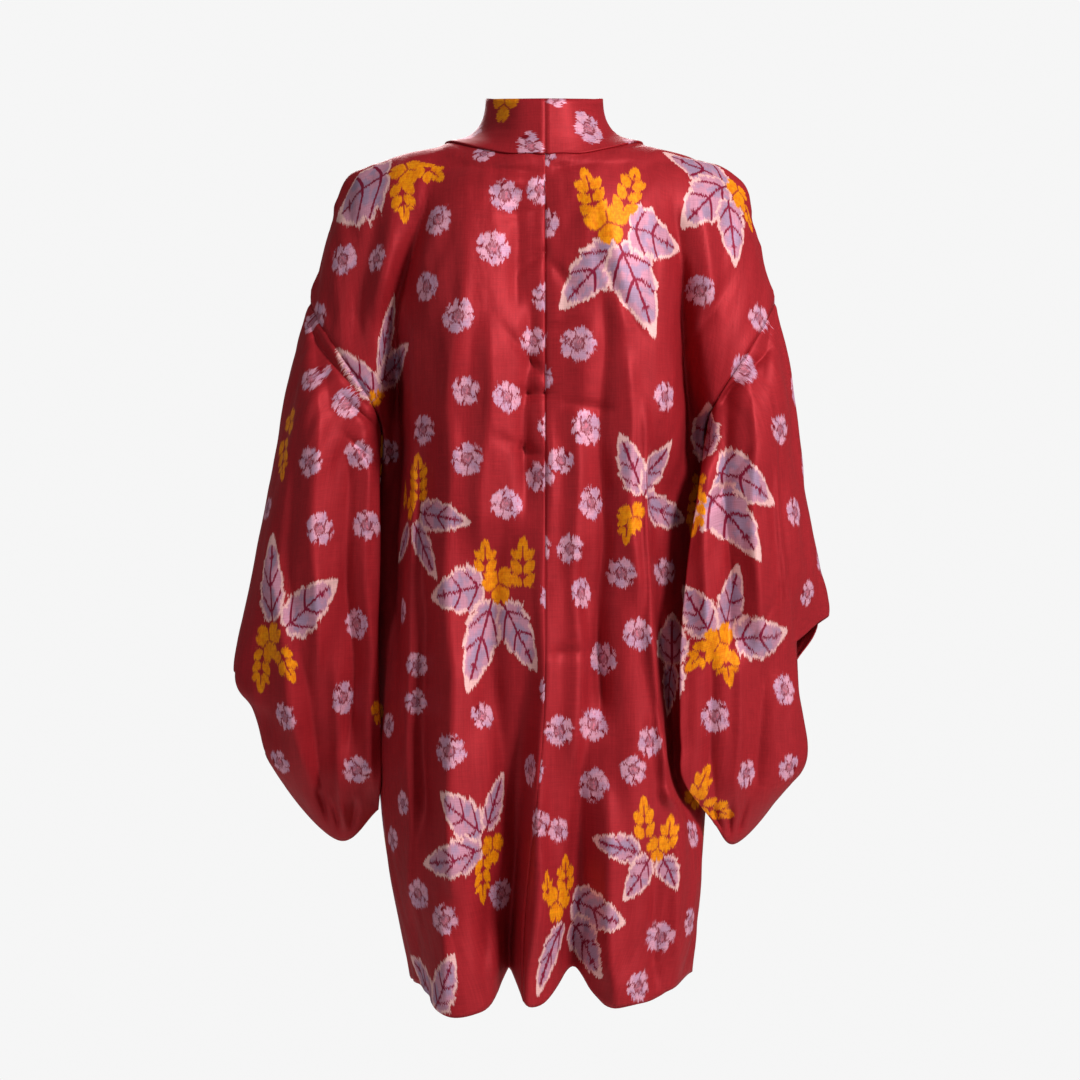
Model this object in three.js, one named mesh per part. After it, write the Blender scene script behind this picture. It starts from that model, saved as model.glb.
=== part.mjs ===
// Haori: a hip-length silk kimono jacket in its worn, hollow form, with the arms down and the fronts hanging open.
// Millimetres, +Z up. The front faces -Y and the wearer's left is +X. The origin is at the neck, on the centreline.
import * as THREE from 'three';

// Driving sizes.
const CLOTH_WALL = 2;
const COLLAR_WALL = 3;
const SEAM_GAP = 1;
const RIGHT_WIDTH = 0.98;
const BODY_COLUMNS = 18;
const COLLAR_COLUMNS = 3;
const GUSSET_COLUMNS = 2;
const ARMPIT_EASE = 6;
const NECK_HEIGHT = -40;
const LEFT = 1;
const RIGHT = -1;

const SILK_RED = new THREE.MeshStandardMaterial({ color: 0xa8202a, roughness: 0.45, metalness: 0 });
const COLLAR_RED = new THREE.MeshStandardMaterial({ color: 0xb02630, roughness: 0.45, metalness: 0 });

// Sections of one length of the body, from the back hem over the shoulder to the front hem. `at` is the distance
// along the cloth, `strips` the number of strips up to the next section, and the six stations run from the inner
// edge (centre back, then collar seam) to the outer edge (side seam, then armhole). The right side mirrors them.
const BODY_STATIONS = ['inside', 'near', 'blade', 'flank', 'arm', 'outside'];
const BODY_SECTIONS = [
  { name: 'hem', at: 0, strips: 4, inside: [0, 132, -762], near: [46, 135, -763],
    blade: [84, 124, -763], flank: [112, 96, -760], arm: [126, 62, -757], outside: [129, 34, -756] },
  { name: 'thigh', at: 130, strips: 3, inside: [0, 127, -632], near: [48, 130, -632],
    blade: [90, 117, -632], flank: [124, 90, -632], arm: [142, 58, -632], outside: [146, 29, -632] },
  { name: 'hip', at: 262, strips: 3, inside: [0, 121, -500], near: [48, 124, -500],
    blade: [88, 112, -500], flank: [120, 86, -500], arm: [139, 56, -500], outside: [155, 24, -500] },
  { name: 'waist', at: 387, strips: 3, inside: [0, 113, -375], near: [47, 117, -375],
    blade: [85, 107, -375], flank: [115, 83, -375], arm: [132, 53, -375], outside: [157, 20, -375] },
  { name: 'armpit', at: 504, strips: 3, inside: [0, 105, -258], near: [46, 111, -258],
    blade: [83, 105, -258], flank: [112, 84, -258], arm: [133, 52, -260], outside: [150, 16, -262] },
  { name: 'shoulder blade', at: 582, strips: 2, inside: [0, 99, -180], near: [45, 106, -178],
    blade: [82, 102, -176], flank: [112, 82, -180], arm: [136, 60, -200], outside: [158, 53, -232] },
  { name: 'yoke', at: 652, strips: 1, inside: [0, 91, -110], near: [44, 97, -107],
    blade: [84, 91, -104], flank: [120, 74, -108], arm: [156, 58, -140], outside: [187, 51, -189] },
  { name: 'upper back', at: 702, strips: 2, inside: [0, 83, -62], near: [44, 86, -56],
    blade: [88, 73, -50], flank: [134, 56, -58], arm: [176, 42, -100], outside: [205, 31, -163] },
  { name: 'nape', at: 748, strips: 2, inside: [0, 75, -16], near: [42, 75, -25],
    blade: [92, 54, -22], flank: [146, 39, -30], arm: [186, 26, -70], outside: [213, 15, -149] },
  { name: 'neck back', at: 769, strips: 1, inside: [30, 70, -15], near: [60, 65, -18],
    blade: [103, 45, -17], flank: [152, 31, -25], arm: [188, 19, -64], outside: [215, 10, -146] },
  { name: 'neck side', at: 790, strips: 3, inside: [56, 56, -8], near: [82, 45, -7],
    blade: [116, 32, -10], flank: [160, 22, -21], arm: [190, 12, -58], outside: [216, 6, -143] },
  { name: 'shoulder', at: 840, strips: 3, inside: [89, 6, 6], near: [112, 4, 0],
    blade: [146, 2, -10], flank: [186, 0, -29], arm: [198, 0, -74], outside: [217, 0, -141] },
  { name: 'front shoulder', at: 880, strips: 3, inside: [86, -36, -4], near: [110, -34, -6],
    blade: [144, -30, -15], flank: [180, -24, -38], arm: [196, -18, -84], outside: [213, -15, -149] },
  { name: 'collarbone', at: 935, strips: 3, inside: [84, -70, -48], near: [106, -66, -48],
    blade: [136, -56, -54], flank: [164, -46, -74], arm: [184, -38, -112], outside: [205, -31, -163] },
  { name: 'chest', at: 1010, strips: 2, inside: [86, -96, -120], near: [104, -92, -120],
    blade: [126, -80, -122], flank: [144, -66, -136], arm: [160, -54, -160], outside: [187, -51, -189] },
  { name: 'bust', at: 1080, strips: 3, inside: [88, -108, -190], near: [102, -104, -190],
    blade: [118, -92, -190], flank: [132, -74, -196], arm: [144, -60, -210], outside: [158, -53, -232] },
  { name: 'front armpit', at: 1148, strips: 3, inside: [88, -114, -258], near: [102, -110, -258],
    blade: [117, -97, -258], flank: [130, -76, -258], arm: [140, -48, -260], outside: [150, -16, -262] },
  { name: 'front waist', at: 1265, strips: 3, inside: [88, -122, -375], near: [103, -118, -375],
    blade: [118, -103, -375], flank: [130, -80, -375], arm: [142, -52, -375], outside: [157, -20, -375] },
  { name: 'front hip', at: 1390, strips: 3, inside: [88, -129, -500], near: [104, -125, -500],
    blade: [120, -109, -500], flank: [133, -85, -500], arm: [146, -54, -500], outside: [155, -24, -500] },
  { name: 'front thigh', at: 1522, strips: 4, inside: [88, -134, -632], near: [105, -130, -632],
    blade: [122, -113, -632], flank: [136, -88, -632], arm: [145, -58, -632], outside: [146, -29, -632] },
  { name: 'front hem', at: 1652, strips: 0, inside: [88, -138, -762], near: [104, -134, -763],
    blade: [116, -118, -763], flank: [124, -94, -760], arm: [128, -62, -757], outside: [129, -34, -756] },
];

// Free upper edge of the collar band, beside the body sections from the nape to the front hem, and how far the band
// bows in towards the neck half way up.
const COLLAR_EDGE = [
  { name: 'nape', free: [0, 66, 35], bow: 0 },
  { name: 'neck back', free: [22, 61, 36], bow: 3 },
  { name: 'neck side', free: [42, 42, 40], bow: 8 },
  { name: 'shoulder', free: [54, 2, 45], bow: 12 },
  { name: 'front shoulder', free: [50, -42, 30], bow: 9 },
  { name: 'collarbone', free: [44, -80, -22], bow: 3 },
  { name: 'chest', free: [41, -110, -104], bow: 0 },
  { name: 'bust', free: [40, -122, -184], bow: 0 },
  { name: 'front armpit', free: [39, -128, -256], bow: 0 },
  { name: 'front waist', free: [38, -136, -375], bow: 0 },
  { name: 'front hip', free: [38, -143, -500], bow: 0 },
  { name: 'front thigh', free: [38, -148, -632], bow: 0 },
  { name: 'front hem', free: [38, -152, -763], bow: 0 },
];

// Sleeve levels from the armhole seam down to the closed bottom seam. Each is a U, open toward the body, from the
// back inner edge round the outer fold to the front inner edge. Between `cuff top` and `cuff end` the cloth between
// the two rims is open: that is the cuff. The last level lies flat, back on front. Mirrored for the right sleeve.
const SLEEVE_STATIONS = ['backEdge', 'back', 'backRim', 'outer', 'frontRim', 'front', 'frontEdge'];
const STATION_SHARES = [0, 0.22, 3 / 7, 0.5, 4 / 7, 0.78, 1];
const LEFT_SLEEVE = [
  { name: 'upper', strips: 3, backEdge: [153, 46, -306], back: [192, 66, -262], backRim: [226, 36, -222],
    outer: [236, 0, -212], frontRim: [226, -34, -222], front: [196, -56, -262], frontEdge: [160, -42, -300] },
  { name: 'elbow', strips: 2, backEdge: [153, 52, -372], back: [200, 70, -352], backRim: [244, 36, -312],
    outer: [253, 0, -305], frontRim: [244, -36, -312], front: [200, -60, -352], frontEdge: [162, -46, -372] },
  { name: 'forearm', strips: 2, backEdge: [156, 50, -445], back: [206, 66, -432], backRim: [263, 32, -402],
    outer: [272, -2, -396], frontRim: [263, -36, -402], front: [206, -56, -432], frontEdge: [164, -44, -445] },
  { name: 'cuff top', strips: 1, backEdge: [155, 44, -510], back: [210, 58, -505], backRim: [282, 24, -480],
    outer: [287, -4, -474], frontRim: [281, -32, -480], front: [212, -50, -505], frontEdge: [166, -40, -510] },
  { name: 'open cuff', strips: 2, backEdge: [155, 38, -538], back: [208, 50, -540], backRim: [267, 20, -514],
    outer: [270, -4, -508], frontRim: [266, -28, -514], front: [209, -44, -540], frontEdge: [165, -34, -538] },
  { name: 'cuff end', strips: 3, backEdge: [154, 30, -572], back: [205, 42, -578], backRim: [254, 16, -560],
    outer: [259, -4, -554], frontRim: [254, -24, -560], front: [205, -38, -578], frontEdge: [164, -28, -572] },
  { name: 'bottom', strips: 0, backEdge: [155, 6, -606], back: [190, 4, -636], backRim: [239, -2, -589],
    outer: [251, -4, -570], frontRim: [239, -2, -589], front: [190, 4, -636], frontEdge: [155, 6, -606] },
];
const RIGHT_SLEEVE = [
  { name: 'upper', strips: 3, backEdge: [138, 66, -306], back: [178, 72, -262], backRim: [217, 36, -222],
    outer: [227, 0, -212], frontRim: [217, -34, -222], front: [190, -56, -262], frontEdge: [158, -42, -300] },
  { name: 'elbow', strips: 2, backEdge: [127, 78, -372], back: [174, 78, -352], backRim: [226, 38, -312],
    outer: [240, -4, -305], frontRim: [230, -38, -312], front: [194, -60, -352], frontEdge: [160, -46, -372] },
  { name: 'forearm', strips: 2, backEdge: [120, 84, -445], back: [170, 78, -432], backRim: [234, 36, -386],
    outer: [254, -8, -382], frontRim: [246, -38, -390], front: [200, -56, -432], frontEdge: [162, -44, -445] },
  { name: 'cuff top', strips: 1, backEdge: [119, 86, -510], back: [172, 72, -490], backRim: [231, 24, -452],
    outer: [263, -18, -430], frontRim: [257, -36, -438], front: [204, -50, -490], frontEdge: [163, -38, -510] },
  { name: 'open cuff', strips: 2, backEdge: [120, 86, -540], back: [175, 66, -536], backRim: [233, 20, -496],
    outer: [236, -12, -486], frontRim: [229, -32, -488], front: [200, -44, -532], frontEdge: [163, -31, -538] },
  { name: 'cuff end', strips: 3, backEdge: [122, 84, -572], back: [180, 56, -586], backRim: [240, 14, -558],
    outer: [243, -6, -548], frontRim: [238, -24, -556], front: [196, -36, -580], frontEdge: [162, -22, -570] },
  { name: 'bottom', strips: 0, backEdge: [152, 52, -614], back: [174, 34, -634], backRim: [218, 4, -592],
    outer: [236, -4, -566], frontRim: [218, 4, -592], front: [174, 34, -634], frontEdge: [152, 52, -614] },
];

// Large folds of the back, each a soft ridge (rise > 0) or trough (rise < 0) along a line from `top` to `foot`, as
// [x, z]. Its height goes from `start` to `end` along that line, and a trough that runs to the hem lifts it.
const BACK_FOLDS = [
  { name: 'centre valley', top: [13, -450], foot: [32, -762], start: -2, end: -44, width: 11, lift: 27 },
  { name: 'centre ridge', top: [1, -470], foot: [19, -762], start: 0, end: 14, width: 7, lift: 0 },
  { name: 'left lobe', top: [70, -430], foot: [76, -762], start: 0, end: 12, width: 22, lift: -4 },
  { name: 'right of centre', top: [-20, -540], foot: [-24, -762], start: 0, end: -28, width: 18, lift: 31 },
  { name: 'right lobe', top: [-78, -470], foot: [-80, -762], start: 0, end: 12, width: 22, lift: 4 },
  { name: 'left hem turn', top: [106, -560], foot: [108, -762], start: 0, end: -12, width: 14, lift: 8 },
  { name: 'left arm valley', top: [118, -50], foot: [133, -270], start: -3, end: -20, width: 15, lift: 0 },
  { name: 'right arm valley', top: [-120, -110], foot: [-136, -262], start: -4, end: -18, width: 12, lift: 0 },
  { name: 'left back sway', top: [62, -210], foot: [56, -500], start: -3, end: -5, width: 16, lift: 0 },
  { name: 'right back sway', top: [-44, -260], foot: [-50, -560], start: -2, end: -6, width: 17, lift: 0 },
];
const FRONT_FOLDS = [
  { name: 'left front fold', top: [112, -240], foot: [108, -762], start: 2, end: 14, width: 12, lift: 0 },
  { name: 'left front valley', top: [128, -300], foot: [124, -762], start: -2, end: -14, width: 10, lift: 6 },
  { name: 'right front fold', top: [-110, -260], foot: [-106, -762], start: 2, end: 13, width: 12, lift: 0 },
  { name: 'right front valley', top: [-126, -320], foot: [-121, -762], start: -2, end: -15, width: 10, lift: 6 },
];
const SLEEVE_FOLDS = [
  { name: 'left sleeve sway', top: [186, -300], foot: [196, -590], start: -4, end: -9, width: 15, lift: 0 },
  { name: 'left sleeve ridge', top: [222, -300], foot: [230, -520], start: 3, end: 7, width: 16, lift: 0 },
  { name: 'right sleeve sway', top: [-168, -330], foot: [-172, -590], start: -3, end: -8, width: 15, lift: 0 },
];
// The right back folds over its flank: beyond this line, read from top to bottom, the cloth steps inward by a share
// of its way to the side seam.
const FLANK_STEP = { heights: [-240, -424, -517, -566, -620], edges: [86, 93, 99, 108, 124], share: 0.46, ramp: 9 };
// The right sleeve's back folds over its outer strip, which lies deeper beyond this line.
const SLEEVE_STEP = { heights: [-230, -280, -365, -465], edges: [201, 206, 212, 228], depth: 9, ramp: 8 };

// Value at t of the smooth curve through `values` at `knots`, for arrays of [x, y, z].
function spline(knots, values, t) {
  const last = knots.length - 1;
  let i = 0;
  while (i < last - 1 && t > knots[i + 1]) {
    i += 1;
  }
  const slope = (j, axis) => {
    const before = Math.max(j - 1, 0);
    const after = Math.min(j + 1, last);
    const rate = (a, b) => (values[b][axis] - values[a][axis]) / (knots[b] - knots[a]);
    if (before === j || after === j) {
      return rate(before, after);
    }
    const reach = knots[after] - knots[before];
    return (rate(j, after) * (knots[j] - knots[before]) + rate(before, j) * (knots[after] - knots[j])) / reach;
  };
  const span = knots[i + 1] - knots[i];
  const s = (t - knots[i]) / span;
  return values[i].map((_, axis) => {
    const turn = s * s * (3 - 2 * s);
    const lead = s * (1 - s) * (1 - s) * span * slope(i, axis);
    const trail = s * s * (s - 1) * span * slope(i + 1, axis);
    return values[i][axis] * (1 - turn) + values[i + 1][axis] * turn + lead + trail;
  });
}

const smooth = (x, low, high) => THREE.MathUtils.smoothstep(x, low, high);

// Height and hem lift of a list of folds at a place of the cloth seen from behind.
function foldAt(folds, x, z) {
  let rise = 0;
  let lift = 0;
  for (const fold of folds) {
    const run = [fold.foot[0] - fold.top[0], fold.foot[1] - fold.top[1]];
    const length = Math.hypot(...run);
    const along = ((x - fold.top[0]) * run[0] + (z - fold.top[1]) * run[1]) / length;
    const aside = ((x - fold.top[0]) * run[1] - (z - fold.top[1]) * run[0]) / length;
    const share = THREE.MathUtils.clamp(along / length, 0, 1);
    const fade = smooth(along, -60, 20) * (1 - smooth(along, length, length + 60));
    const shape = Math.exp(-((aside / fold.width) ** 2)) * fade;
    rise += THREE.MathUtils.lerp(fold.start, fold.end, share) * shape;
    lift += fold.lift * shape * smooth(share, 0.55, 1);
  }
  return { rise, lift };
}

// How far a place is beyond the line of a step, from 0 to 1.
function beyondStep({ heights, edges, ramp }, x, z) {
  const at = THREE.MathUtils.clamp(-z, -heights[0], -heights[heights.length - 1]);
  const [edge] = spline(heights.map((height) => -height), edges.map((e) => [e]), at);
  return smooth(-x, edge, edge + ramp);
}

// The share of its way to the side seam by which the right flank is set in at a place of the back.
function flankStep(x, z) {
  const along = smooth(-z, 235, 330) * (1 - smooth(-z, 600, 665));
  return FLANK_STEP.share * along * beyondStep(FLANK_STEP, x, z);
}

// Depth by which the right sleeve's outer strip is set in.
function sleeveStep(x, z) {
  const along = smooth(-z, 215, 285) * (1 - smooth(-z, 440, 480));
  return SLEEVE_STEP.depth * along * beyondStep(SLEEVE_STEP, x, z);
}

// The centre seam hangs straight to the hip and drifts to the left below it, while the sides sway to the right.
function hemShift({ x, y, z }) {
  const side = smooth(Math.abs(x), 60, 130);
  return 19 * smooth(-z, 470, 740) * smooth(y, 0, 70) * (1 - side) - 7 * smooth(-z, 600, 780) * side;
}

// The hem rises towards the right side.
function hemRise({ x, z }) {
  return 11 * smooth(-z, 600, 780) * smooth(-x, 85, 130);
}

const toVector = ([x, y, z]) => new THREE.Vector3(x, y, z);
const sideX = (side, x) => side * x * (side === RIGHT ? RIGHT_WIDTH : 1);

const bodyKnots = BODY_SECTIONS.map((section) => section.at);
const stationKnots = BODY_STATIONS.map((_, i) => i / (BODY_STATIONS.length - 1));

// Point of the body cloth on one side, `at` along the cloth and `share` of the way from its inner to its outer edge.
function bodyPoint(side, at, share) {
  const across = BODY_STATIONS.map((station) => {
    return spline(bodyKnots, BODY_SECTIONS.map((section) => section[station]), at);
  });
  const [x, y, z] = spline(stationKnots, across, share);
  const point = new THREE.Vector3(sideX(side, Math.max(x, 0)), y, z);
  point.x += hemShift(point);
  const shoulder = 800;
  const back = at < shoulder;
  const edgeFade = 1 - smooth(share, 0.88, 1);
  const innerFade = back ? smooth(-point.z, 20, 90) : smooth(share, 0, 0.15);
  const { rise, lift } = foldAt(back ? BACK_FOLDS : FRONT_FOLDS, point.x, point.z);
  point.y += (back ? 1 : -1) * rise * edgeFade * innerFade;
  point.z += lift * edgeFade * innerFade + hemRise(point);
  if (back && side === RIGHT) {
    const seamDepth = across[across.length - 1][1];
    point.y = THREE.MathUtils.lerp(point.y, seamDepth, flankStep(point.x, point.z));
  }
  return point;
}

// Distances along the body cloth of the grid's lines between two named sections.
function bodyLevels(from, to) {
  const first = BODY_SECTIONS.findIndex((section) => section.name === from);
  const last = BODY_SECTIONS.findIndex((section) => section.name === to);
  const levels = [];
  for (let i = first; i < last; i += 1) {
    const { at, strips } = BODY_SECTIONS[i];
    for (let k = 0; k < strips; k += 1) {
      levels.push(at + (BODY_SECTIONS[i + 1].at - at) * (k / strips));
    }
  }
  levels.push(BODY_SECTIONS[last].at);
  return levels;
}

// A sheet of cloth: a grid of points, of which two may share a place in the mesh, with the cells that `open` names
// left out. `seams` lists the edges that are sewn, each as pairs of a vertex and its neighbour inside the sheet.
function makeSheet(name, material, wall, grid, options = {}) {
  const { open = () => false, folded = false, seams = [] } = options;
  const rows = grid.length;
  const columns = grid[0].length;
  const index = (r, c) => {
    const onFold = folded && r === rows - 1 && c > (columns - 1) / 2;
    return r * columns + (onFold ? columns - 1 - c : c);
  };
  const faces = [];
  for (let r = 0; r < rows - 1; r += 1) {
    for (let c = 0; c < columns - 1; c += 1) {
      if (!open(r, c)) {
        faces.push([index(r, c), index(r, c + 1), index(r + 1, c + 1), index(r + 1, c)]);
      }
    }
  }
  const edges = {
    first: grid.map((_, r) => [index(r, 0), index(r, 1)]),
    last: grid.map((_, r) => [index(r, columns - 1), index(r, columns - 2)]),
    top: grid[0].map((_, c) => [index(0, c), index(1, c)]),
  };
  return { name, material, wall, points: grid.flat(), faces, seams: seams.flatMap((edge) => edges[edge]) };
}

// Turns the faces so that they look away from `heart`, and gives each point the mean normal of its faces.
function orient(sheet, heart) {
  const { points } = sheet;
  const faceNormal = ([a, b, c, d]) => {
    const one = points[c].clone().sub(points[a]);
    const two = points[d].clone().sub(points[b]);
    return one.cross(two);
  };
  let outward = 0;
  for (const face of sheet.faces) {
    outward += faceNormal(face).dot(points[face[0]].clone().sub(heart(points[face[0]])));
  }
  if (outward < 0) {
    sheet.faces = sheet.faces.map((face) => face.slice().reverse());
  }
  sheet.faceNormals = sheet.faces.map((face) => faceNormal(face).normalize());
  sheet.normals = points.map(() => new THREE.Vector3());
  sheet.faces.forEach((face, f) => face.forEach((p) => sheet.normals[p].add(sheet.faceNormals[f])));
  sheet.normals.forEach((normal) => normal.normalize());
}

// Sewn sheets meet at a mitre: points of different sheets in one place get one normal, and are then drawn apart.
function joinSeams(sheets) {
  const groups = new Map();
  for (const sheet of sheets) {
    for (const [p] of sheet.seams) {
      const { x, y, z } = sheet.points[p];
      const key = [x, y, z].map((value) => Math.round(value * 20)).join();
      groups.set(key, [...(groups.get(key) ?? []), sheet.normals[p].clone()]);
    }
  }
  const draws = [];
  for (const sheet of sheets) {
    for (const [p, inward] of sheet.seams) {
      const { x, y, z } = sheet.points[p];
      const key = [x, y, z].map((value) => Math.round(value * 20)).join();
      const shared = new THREE.Vector3();
      groups.get(key).forEach((normal) => shared.add(normal));
      sheet.normals[p].copy(shared.normalize());
      draws.push([sheet.points[p], sheet.points[inward].clone().sub(sheet.points[p]).setLength(SEAM_GAP / 2)]);
    }
  }
  draws.forEach(([point, move]) => point.add(move));
}

// Gives the sheet its wall, half on each side, and closes it along its free edges.
function thicken(sheet) {
  const { points, faces, normals, faceNormals, wall } = sheet;
  const steepest = points.map(() => 1);
  faces.forEach((face, f) => face.forEach((p) => {
    steepest[p] = Math.min(steepest[p], Math.max(normals[p].dot(faceNormals[f]), 0.6));
  }));
  const used = new Set(faces.flat());
  const place = new Map([...used].map((p, i) => [p, i]));
  const layer = used.size;
  const position = new Float32Array(layer * 6);
  for (const [p, i] of place) {
    const reach = normals[p].clone().multiplyScalar(wall / 2 / steepest[p]);
    points[p].clone().add(reach).toArray(position, i * 3);
    points[p].clone().sub(reach).toArray(position, (layer + i) * 3);
  }
  const triangles = [];
  const quad = (a, b, c, d) => triangles.push(a, b, c, a, c, d);
  const directed = new Map();
  for (const face of faces) {
    const [a, b, c, d] = face.map((p) => place.get(p));
    quad(a, b, c, d);
    quad(layer + d, layer + c, layer + b, layer + a);
    [[a, b], [b, c], [c, d], [d, a]].forEach(([from, to]) => directed.set(`${from},${to}`, [from, to]));
  }
  for (const [from, to] of directed.values()) {
    if (!directed.has(`${to},${from}`)) {
      quad(to, from, layer + from, layer + to);
    }
  }
  const geometry = new THREE.BufferGeometry();
  geometry.setAttribute('position', new THREE.BufferAttribute(position, 3));
  geometry.setIndex(triangles);
  const mesh = new THREE.Mesh(geometry, sheet.material);
  mesh.name = sheet.name;
  return mesh;
}

// One length of the body. The columns lie closer together near the centre back, where the folds are.
function makeBody(side, name) {
  const levels = bodyLevels('hem', 'front hem');
  const shares = Array.from({ length: BODY_COLUMNS + 1 }, (_, c) => c / BODY_COLUMNS);
  const grid = levels.map((at) => shares.map((t) => bodyPoint(side, at, t * (0.8 + 0.2 * t))));
  return makeSheet(name, SILK_RED, CLOTH_WALL, grid, { seams: ['first', 'last'] });
}

// Half of the collar band, from the centre back down to the front hem. It stands at the nape and lies flat in front.
function makeCollar(side, name) {
  const knots = COLLAR_EDGE.map(({ name: at }) => BODY_SECTIONS.find((section) => section.name === at).at);
  const values = COLLAR_EDGE.map(({ free, bow }) => [...free, bow]);
  const grid = bodyLevels('nape', 'front hem').map((at) => {
    const seam = bodyPoint(side, at, 0);
    const [x, y, z, bow] = spline(knots, values, at);
    const band = new THREE.Vector3(sideX(side, Math.max(x, 0)), y, z).sub(seam);
    const inward = new THREE.Vector3(-seam.x, -seam.y, 0).normalize();
    const sag = inward.clone().multiplyScalar(band.z);
    sag.z = -band.dot(inward);
    sag.setLength(Math.max(bow, 0));
    return Array.from({ length: COLLAR_COLUMNS + 1 }, (_, c) => {
      const share = c / COLLAR_COLUMNS;
      return seam.clone().addScaledVector(band, share).addScaledVector(sag, 4 * share * (1 - share));
    });
  });
  return makeSheet(name, COLLAR_RED, COLLAR_WALL, grid, { seams: ['first', 'top'] });
}

// The narrow strip between the back and front side seams, below the armhole.
function makeGusset(side, name) {
  const backLevels = bodyLevels('hem', 'armpit').reverse();
  const frontLevels = bodyLevels('front armpit', 'front hem');
  const grid = backLevels.map((backAt, r) => {
    const back = bodyPoint(side, backAt, 1);
    const front = bodyPoint(side, frontLevels[r], 1);
    return Array.from({ length: GUSSET_COLUMNS + 1 }, (_, c) => back.clone().lerp(front, c / GUSSET_COLUMNS));
  });
  return makeSheet(name, SILK_RED, CLOTH_WALL, grid, { seams: ['first', 'last'] });
}

// A sleeve hangs from the armhole edge of the body.
function makeSleeve(side, name, levels) {
  const armhole = bodyLevels('armpit', 'front armpit');
  const columns = armhole.length - 1;
  const knots = levels.reduce((list, _, i) => [...list, i + 1], [0]);
  const rowKnots = [0];
  const firstStrips = 3;
  levels.forEach((level, i) => {
    const strips = i === 0 ? firstStrips : levels[i - 1].strips;
    for (let k = 1; k <= strips; k += 1) {
      rowKnots.push(i + k / strips);
    }
  });
  const lines = armhole.map((at, c) => {
    const share = c / columns;
    const seam = bodyPoint(side, at, 1);
    const nearEnd = Math.min(c, columns - c);
    seam.x += side * ARMPIT_EASE * Math.max(0, 1 - nearEnd / 2);
    const hanging = levels.map((level) => {
      const [x, y, z] = spline(STATION_SHARES, SLEEVE_STATIONS.map((station) => level[station]), share);
      return [side * x, y, z];
    });
    return [seam.toArray(), ...hanging];
  });
  const grid = rowKnots.map((row) => lines.map((line, c) => {
    const point = toVector(spline(knots, line, row));
    const backShare = 1 - smooth(c / columns, 0.42, 0.5);
    const fade = smooth(row, 0, 1) * (1 - smooth(row, levels.length - 1, levels.length));
    point.y += (foldAt(SLEEVE_FOLDS, point.x, point.z).rise - sleeveStep(point.x, point.z)) * backShare * fade;
    return point;
  }));
  const cuffTop = rowKnots.indexOf(1 + levels.findIndex((level) => level.name === 'cuff top'));
  const cuffEnd = rowKnots.indexOf(1 + levels.findIndex((level) => level.name === 'cuff end'));
  const rimStart = Math.round(STATION_SHARES[2] * columns);
  const rimEnd = Math.round(STATION_SHARES[4] * columns);
  const open = (r, c) => r >= cuffTop && r < cuffEnd && c >= rimStart && c < rimEnd;
  return makeSheet(name, SILK_RED, CLOTH_WALL, grid, { open, folded: true, seams: ['top'] });
}

const bodyHeart = (point) => new THREE.Vector3(0, 0, Math.min(point.z, NECK_HEIGHT) - 20);
const sleeveHeart = (side) => (point) => {
  return new THREE.Vector3(side * THREE.MathUtils.clamp(160 - 0.1 * point.z, 160, 210), 0, point.z);
};

const pieces = [
  [makeBody(LEFT, 'body_left'), bodyHeart],
  [makeBody(RIGHT, 'body_right'), bodyHeart],
  [makeGusset(LEFT, 'side_gusset_left'), bodyHeart],
  [makeGusset(RIGHT, 'side_gusset_right'), bodyHeart],
  [makeSleeve(LEFT, 'sleeve_left', LEFT_SLEEVE), sleeveHeart(LEFT)],
  [makeSleeve(RIGHT, 'sleeve_right', RIGHT_SLEEVE), sleeveHeart(RIGHT)],
  [makeCollar(LEFT, 'collar_left'), bodyHeart],
  [makeCollar(RIGHT, 'collar_right'), bodyHeart],
];
pieces.forEach(([sheet, heart]) => orient(sheet, heart));
joinSeams(pieces.map(([sheet]) => sheet));

const haori = new THREE.Group();
haori.name = 'haori';
pieces.forEach(([sheet]) => haori.add(thicken(sheet)));

export default haori;
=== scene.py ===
import functools
import math

import bpy
import numpy as np
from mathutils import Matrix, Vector


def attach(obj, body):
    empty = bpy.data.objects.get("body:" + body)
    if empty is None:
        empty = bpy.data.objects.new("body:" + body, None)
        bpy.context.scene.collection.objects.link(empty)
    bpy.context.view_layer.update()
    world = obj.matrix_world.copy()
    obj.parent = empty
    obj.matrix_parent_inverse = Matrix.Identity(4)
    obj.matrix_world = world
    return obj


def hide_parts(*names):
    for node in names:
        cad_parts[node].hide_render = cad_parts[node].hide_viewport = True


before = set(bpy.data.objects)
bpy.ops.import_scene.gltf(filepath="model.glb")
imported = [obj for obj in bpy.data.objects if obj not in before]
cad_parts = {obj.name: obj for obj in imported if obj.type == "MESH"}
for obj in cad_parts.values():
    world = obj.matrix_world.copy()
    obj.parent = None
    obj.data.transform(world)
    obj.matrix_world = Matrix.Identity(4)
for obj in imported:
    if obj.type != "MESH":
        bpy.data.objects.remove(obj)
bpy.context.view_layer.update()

# Haori seen from behind. Sizes are millimetres in the frame of the CAD model and turn into metres at the end:
# +Z is up, the front faces -Y, the wearer's left is +X, and the origin is at the neck.
MM = 0.001
LEFT, RIGHT = 1, -1
RIGHT_WIDTH = 0.98
# thickness of the cloth, and of the folded collar band
SHELL, COLLAR_SHELL = 1.0, 1.8
# share of the cloth's width that the collar laps over, and how far its halves cross at the centre back
COLLAR_LAP, COLLAR_CENTRE_LAP = 0.02, 0.4
# the grids of the pieces: steps or rows down the cloth, and columns across it
BODY_ROW_STEP, BODY_COLUMNS = 4.0, 76
SLEEVE_ROW_STEP, SLEEVE_COLUMNS = 2.6, 140
COLLAR_ROW_STEP, COLLAR_COLUMNS = 4.0, 14
GUSSET_ROWS, GUSSET_COLUMNS = 125, 14
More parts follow.
